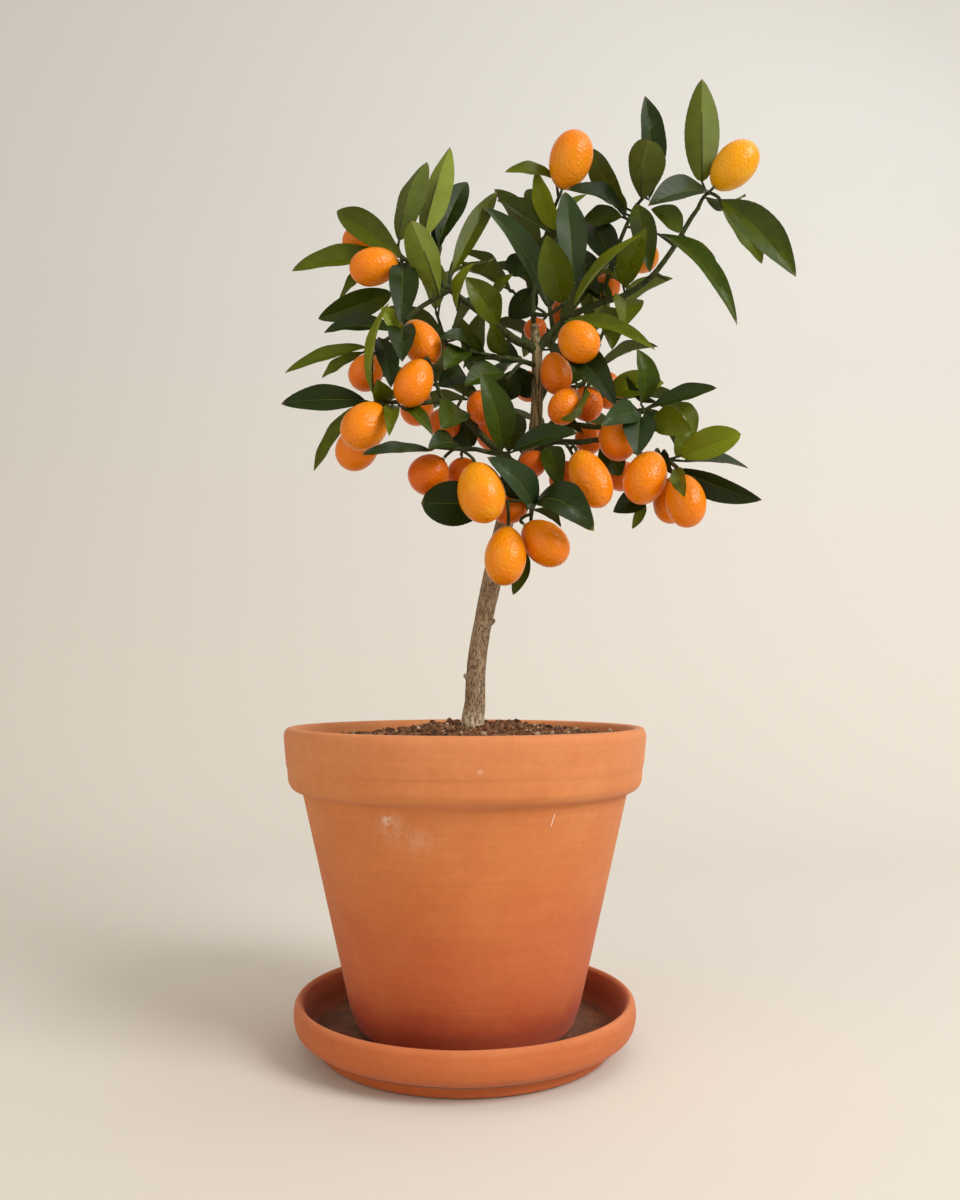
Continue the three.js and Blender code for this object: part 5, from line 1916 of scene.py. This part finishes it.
@dataclass
class Spray:
    """One leafy branch: its wood, its leaves, its calyces and its fruits. Sizes are in mm.

    A petiole has a girth at its root, its knee, the blade's base and each of the rib_shares, as
    shares of petiole_girth.
    """

    plan: BranchPlan
    step: float = 2.2
    fewest_steps: int = 8
    petiole_girth: float = 0.85
    girth_shares: tuple[float, ...] = (1.25, 0.95, 0.85, 0.72, 0.5, 0.36, 0.2)
    rib_shares: tuple[float, ...] = (0.06, 0.2, 0.4, 0.62)
    rib_depth: float = 0.35
    knee_drop: float = 0.2
    stalk_girth: float = 0.95
    shortest_stalk: float = 2.0
    neck_length: float = 3.5
    bend_back: float = 1.0
    calyx_gap: float = 1.2
    calyx_radius: float = 2.7
    calyx_height: float = 2.4
    calyx_depth: float = 0.7
    wave: tuple[float, float] = (0.3, 0.5)
    most_phase: float = 6.3
    blade_seed: int = 97

    def _wood(self) -> Wood:
        """Gathers the branch's limbs, petioles and fruit stalks."""
        wood = Wood()
        for limb, path in zip(self.plan.branch.limbs, self.plan.paths):
            wood.add(*limb_chain(limb, path, self.fewest_steps, self.step))
        for leaf in self.plan.leaves:
            self._add_petiole(wood, leaf)
        for fruit in self.plan.fruits:
            self._add_stalk(wood, fruit)
        return wood

    def _add_petiole(self, wood: Wood, leaf: Leaf) -> None:
        """Adds a petiole that runs on under the blade as its midrib."""
        root = self.plan.root_of(leaf.base)
        along, _, up = leaf.frame()
        run = leaf.tip - leaf.base
        knee = root.lerp(leaf.base, 0.5) - along * self.knee_drop * MM
        ribs = [leaf.base + run * share + up * (leaf.bow * 4 * share * (1 - share) - self.rib_depth * MM)
                for share in self.rib_shares]
        girths = [self.petiole_girth * MM * share for share in self.girth_shares]
        wood.add([root, knee, leaf.base, *ribs], girths)

    def _add_stalk(self, wood: Wood, fruit: Fruit) -> None:
        """Adds a fruit's stalk, from the limb to its calyx."""
        neck = fruit.stalk_end - fruit.axis * self.neck_length * MM
        root = self.plan.root_of(neck)
        if (root - neck).length < self.shortest_stalk * MM:
            root = root - fruit.axis * self.shortest_stalk * MM
        bend = neck.lerp(root, 0.35) - fruit.axis * self.bend_back * MM
        points = Path([root, bend, neck, fruit.stalk_end - fruit.axis * self.calyx_gap * MM]).sample(9)
        wood.add(points, [self.stalk_girth * MM] * len(points))

    def build(self, trees: Trees, finishes: "Finishes") -> None:
        """Makes and dresses the branch.

        Args:
            trees: the Geometry Nodes trees.
            finishes: the materials.
        """
        name = self.plan.branch.name
        node = f"branch_{name}"
        twigs = self._wood().grow(f"twigs_{name}", trees.stems, finishes.bark, Sides=8, Relief=0.3 * MM,
                                  Grain=700.0, Stretch=0.6)
        settle(twigs, "bark", node)
        settle(self._blades(trees, finishes), "foliage", node)
        if self.plan.fruits:
            settle(self._calyces(trees, finishes), "foliage", node)
        for fruit in self.plan.fruits:
            settle(self._fruit(fruit, trees, finishes), "fruit_skin", fruit.name)

    def _blades(self, trees: Trees, finishes: "Finishes") -> bpy.types.Object:
        """Grows the branch's blades."""
        leaves = self.plan.leaves
        frames = [leaf.frame() for leaf in leaves]
        draw = draws(self.blade_seed + len(leaves))
        mesh = point_mesh(
            "blades", [leaf.base for leaf in leaves],
            base=[leaf.base for leaf in leaves],
            along=[leaf.tip - leaf.base for leaf in leaves],
            across=[across * leaf.width * 0.5 for leaf, (_, across, _) in zip(leaves, frames)],
            up=[up for _, _, up in frames],
            bow=[leaf.bow for leaf in leaves],
            tone=[leaf.tone for leaf in leaves],
            wave=[drawn(self.wave, draw) * MM for _ in leaves],
            widest=[leaf.outline[0] for leaf in leaves],
            point=[leaf.outline[1] for leaf in leaves],
            bloom=[leaf.bloom for leaf in leaves],
            phase=[self.most_phase * next(draw) for _ in leaves],
            twist=[2 * next(draw) - 1 for _ in leaves])
        return grown(f"leaves_{self.plan.branch.name}", mesh, trees.blades, {
            "Upper Finish": finishes.leaf_upper, "Under Finish": finishes.leaf_under})

    def _calyces(self, trees: Trees, finishes: "Finishes") -> bpy.types.Object:
        """Grows the branch's calyces."""
        fruits = self.plan.fruits
        places = [fruit.stalk_end - fruit.axis * self.calyx_depth * MM for fruit in fruits]
        mesh = point_mesh("calyces", places, axis=[fruit.axis for fruit in fruits])
        return grown(f"calyces_{self.plan.branch.name}", mesh, trees.calyces, {
            "Radius": self.calyx_radius * MM, "Height": self.calyx_height * MM, "Finish": finishes.calyx})

    def _fruit(self, fruit: Fruit, trees: Trees, finishes: "Finishes") -> bpy.types.Object:
        """Grows one fruit."""
        middle = fruit.stalk_end.lerp(fruit.far_end, 0.5)
        mesh = point_mesh("fruit", [middle], axis=[fruit.axis], ripeness=[fruit.ripeness],
                          size=[Vector((fruit.width, fruit.width, fruit.length))])
        return grown(f"{fruit.name}_ripe", mesh, trees.fruits, {"Finish": finishes.peel})


@dataclass
class Finishes:
    """The plant's materials, each built once."""

    bark: bpy.types.Material
    leaf_upper: bpy.types.Material
    leaf_under: bpy.types.Material
    calyx: bpy.types.Material
    peel: bpy.types.Material

    @classmethod
    def build(cls, effects: Effects) -> "Finishes":
        """Builds them."""
        upper = LeafSkin(
            "leaf_upper",
            ((0.0, (0.014, 0.026, 0.003)), (0.35, (0.034, 0.056, 0.002)), (0.6, (0.074, 0.094, 0.001)),
             (1.0, (0.16, 0.195, 0.004))),
            rib=(0.17, 0.19, 0.03), rib_width=0.04, gloss=0.40, vein_light=0.06)
        under = LeafSkin(
            "leaf_under",
            ((0.0, (0.042, 0.056, 0.012)), (0.35, (0.070, 0.092, 0.011)), (0.6, (0.108, 0.138, 0.012)),
             (1.0, (0.19, 0.24, 0.026))),
            rib=(0.25, 0.27, 0.09), rib_width=0.07, gloss=0.58, vein_light=0.10)
        calyx = LeafSkin("calyx", ((0.0, (0.09, 0.115, 0.03)), (1.0, (0.16, 0.18, 0.05))),
                         rib=(0.14, 0.15, 0.06), rib_width=0.02, gloss=0.6, vein_light=0.0)
        return cls(*(finish.build(effects) for finish in (Bark(), upper, under, calyx, Peel())))


# The stage
@dataclass
class Stage:
    """A pale floor that curves up behind, and soft studio light from the right.

    Sizes are in metres. The wall's colour comes in over the heights wall_start, painting how the light
    changes up the backdrop.
    """

    floor_color: Color = (0.73, 0.70, 0.642)
    wall_color: Color = (0.695, 0.70, 0.69)
    sky_color: Color = (1.0, 0.90, 0.78)
    sky_strength: float = 0.50
    front: float = -1.6
    back: float = 1.5
    half_width: float = 3.2
    wall_height: float = 2.8
    bend: float = 0.9
    bend_steps: int = 24
    wall_start: tuple[float, float] = (0.1, 1.3)
    aim_height: float = 0.3

    def build(self, effects: Effects) -> None:
        """Makes the floor, the lights and the world.

        Args:
            effects: the shared groups.
        """
        self._floor(effects)
        self._light("key", (1.9, -1.35, 1.75), 1.25, 61.0, (1.0, 0.99, 0.98))
        self._light("fill", (-1.3, -1.6, 0.8), 2.2, 14.0, (1.0, 0.93, 0.83))
        self._light("wall", (0.9, 0.3, 1.9), 1.4, 6.0, (1.0, 0.99, 0.97))
        world = bpy.data.worlds.new("studio")
        world.use_nodes = True
        sky = world.node_tree.nodes["Background"]
        sky.inputs["Color"].default_value = opaque(self.sky_color)
        sky.inputs["Strength"].default_value = self.sky_strength
        bpy.context.scene.world = world
        bpy.context.scene.view_settings.view_transform = "Standard"

    def _floor(self, effects: Effects) -> None:
        """Makes the floor and the wall behind it as one sheet."""
        section = [(self.front, 0.0), (self.back - self.bend, 0.0)]
        for k in range(1, self.bend_steps + 1):
            angle = math.pi / 2 * k / self.bend_steps
            section.append((self.back - self.bend + self.bend * math.sin(angle),
                            self.bend * (1 - math.cos(angle))))
        section.append((self.back, self.wall_height))
        points = [(x, y, z) for y, z in section for x in (-self.half_width, self.half_width)]
        faces = [(2 * k, 2 * k + 1, 2 * k + 3, 2 * k + 2) for k in range(len(section) - 1)]
        mesh = bpy.data.meshes.new("backdrop")
        mesh.from_pydata(points, [], faces)
        mesh.shade_smooth()
        finish = Finish("paper", effects, Roughness=0.9, Specular_IOR_Level=0.2)
        clouds = finish.add("ShaderNodeTexNoise", {"Vector": finish.place, "Scale": 1.2, "Detail": 1.0})
        height = finish.split(finish.place)[2]
        # Painted light: the colour shifts from the floor's to the wall's with height, as the light changes
        # up the backdrop
        plain = finish.mix(finish.between(height, *self.wall_start), self.floor_color, self.wall_color)
        darker = finish.mix(1.0, plain, (0.97, 0.97, 0.97), "MULTIPLY")
        finish.give("Base Color", finish.mix(clouds, darker, plain))
        mesh.materials.append(finish.material)
        floor = in_scene("backdrop", mesh)

    def _light(self, name: str, place: Row, size: float, power: float, color: Color) -> None:
        """Hangs a soft lamp that faces the plant.

        Args:
            name: its name.
            place: where it hangs.
            size: its width.
            power: its power in watts.
            color: its colour.
        """
        data = bpy.data.lights.new(name, "AREA")
        data.size, data.energy, data.color = size, power, color
        lamp = in_scene(name, data)
        lamp.location = place
        aim = Vector((0.0, 0.0, self.aim_height)) - Vector(place)
        lamp.rotation_euler = aim.to_track_quat("-Z", "Y").to_euler()


def main() -> None:
    """Builds the scene, piece by piece."""
    logging.basicConfig(level=logging.INFO, format="%(message)s")
    VIEW.make_camera()
    effects = Effects()
    Stage().build(effects)
    trees = Trees()
    finishes = Finishes.build(effects)
    ware = ClayWare()
    ware.build(trees.turned, effects)
    SoilBed(ware).build(trees.crumbs, effects)
    Trunk().build(trees.stems, finishes.bark)
    for branch in BRANCHES:
        plan = BranchPlan(branch)
        LOG.info("branch %s: %d leaves, %d with no tip in its solid",
                 branch.name, len(plan.leaves), plan.unmatched)
        Spray(plan).build(trees, finishes)


if __name__ == "__main__":
    main()
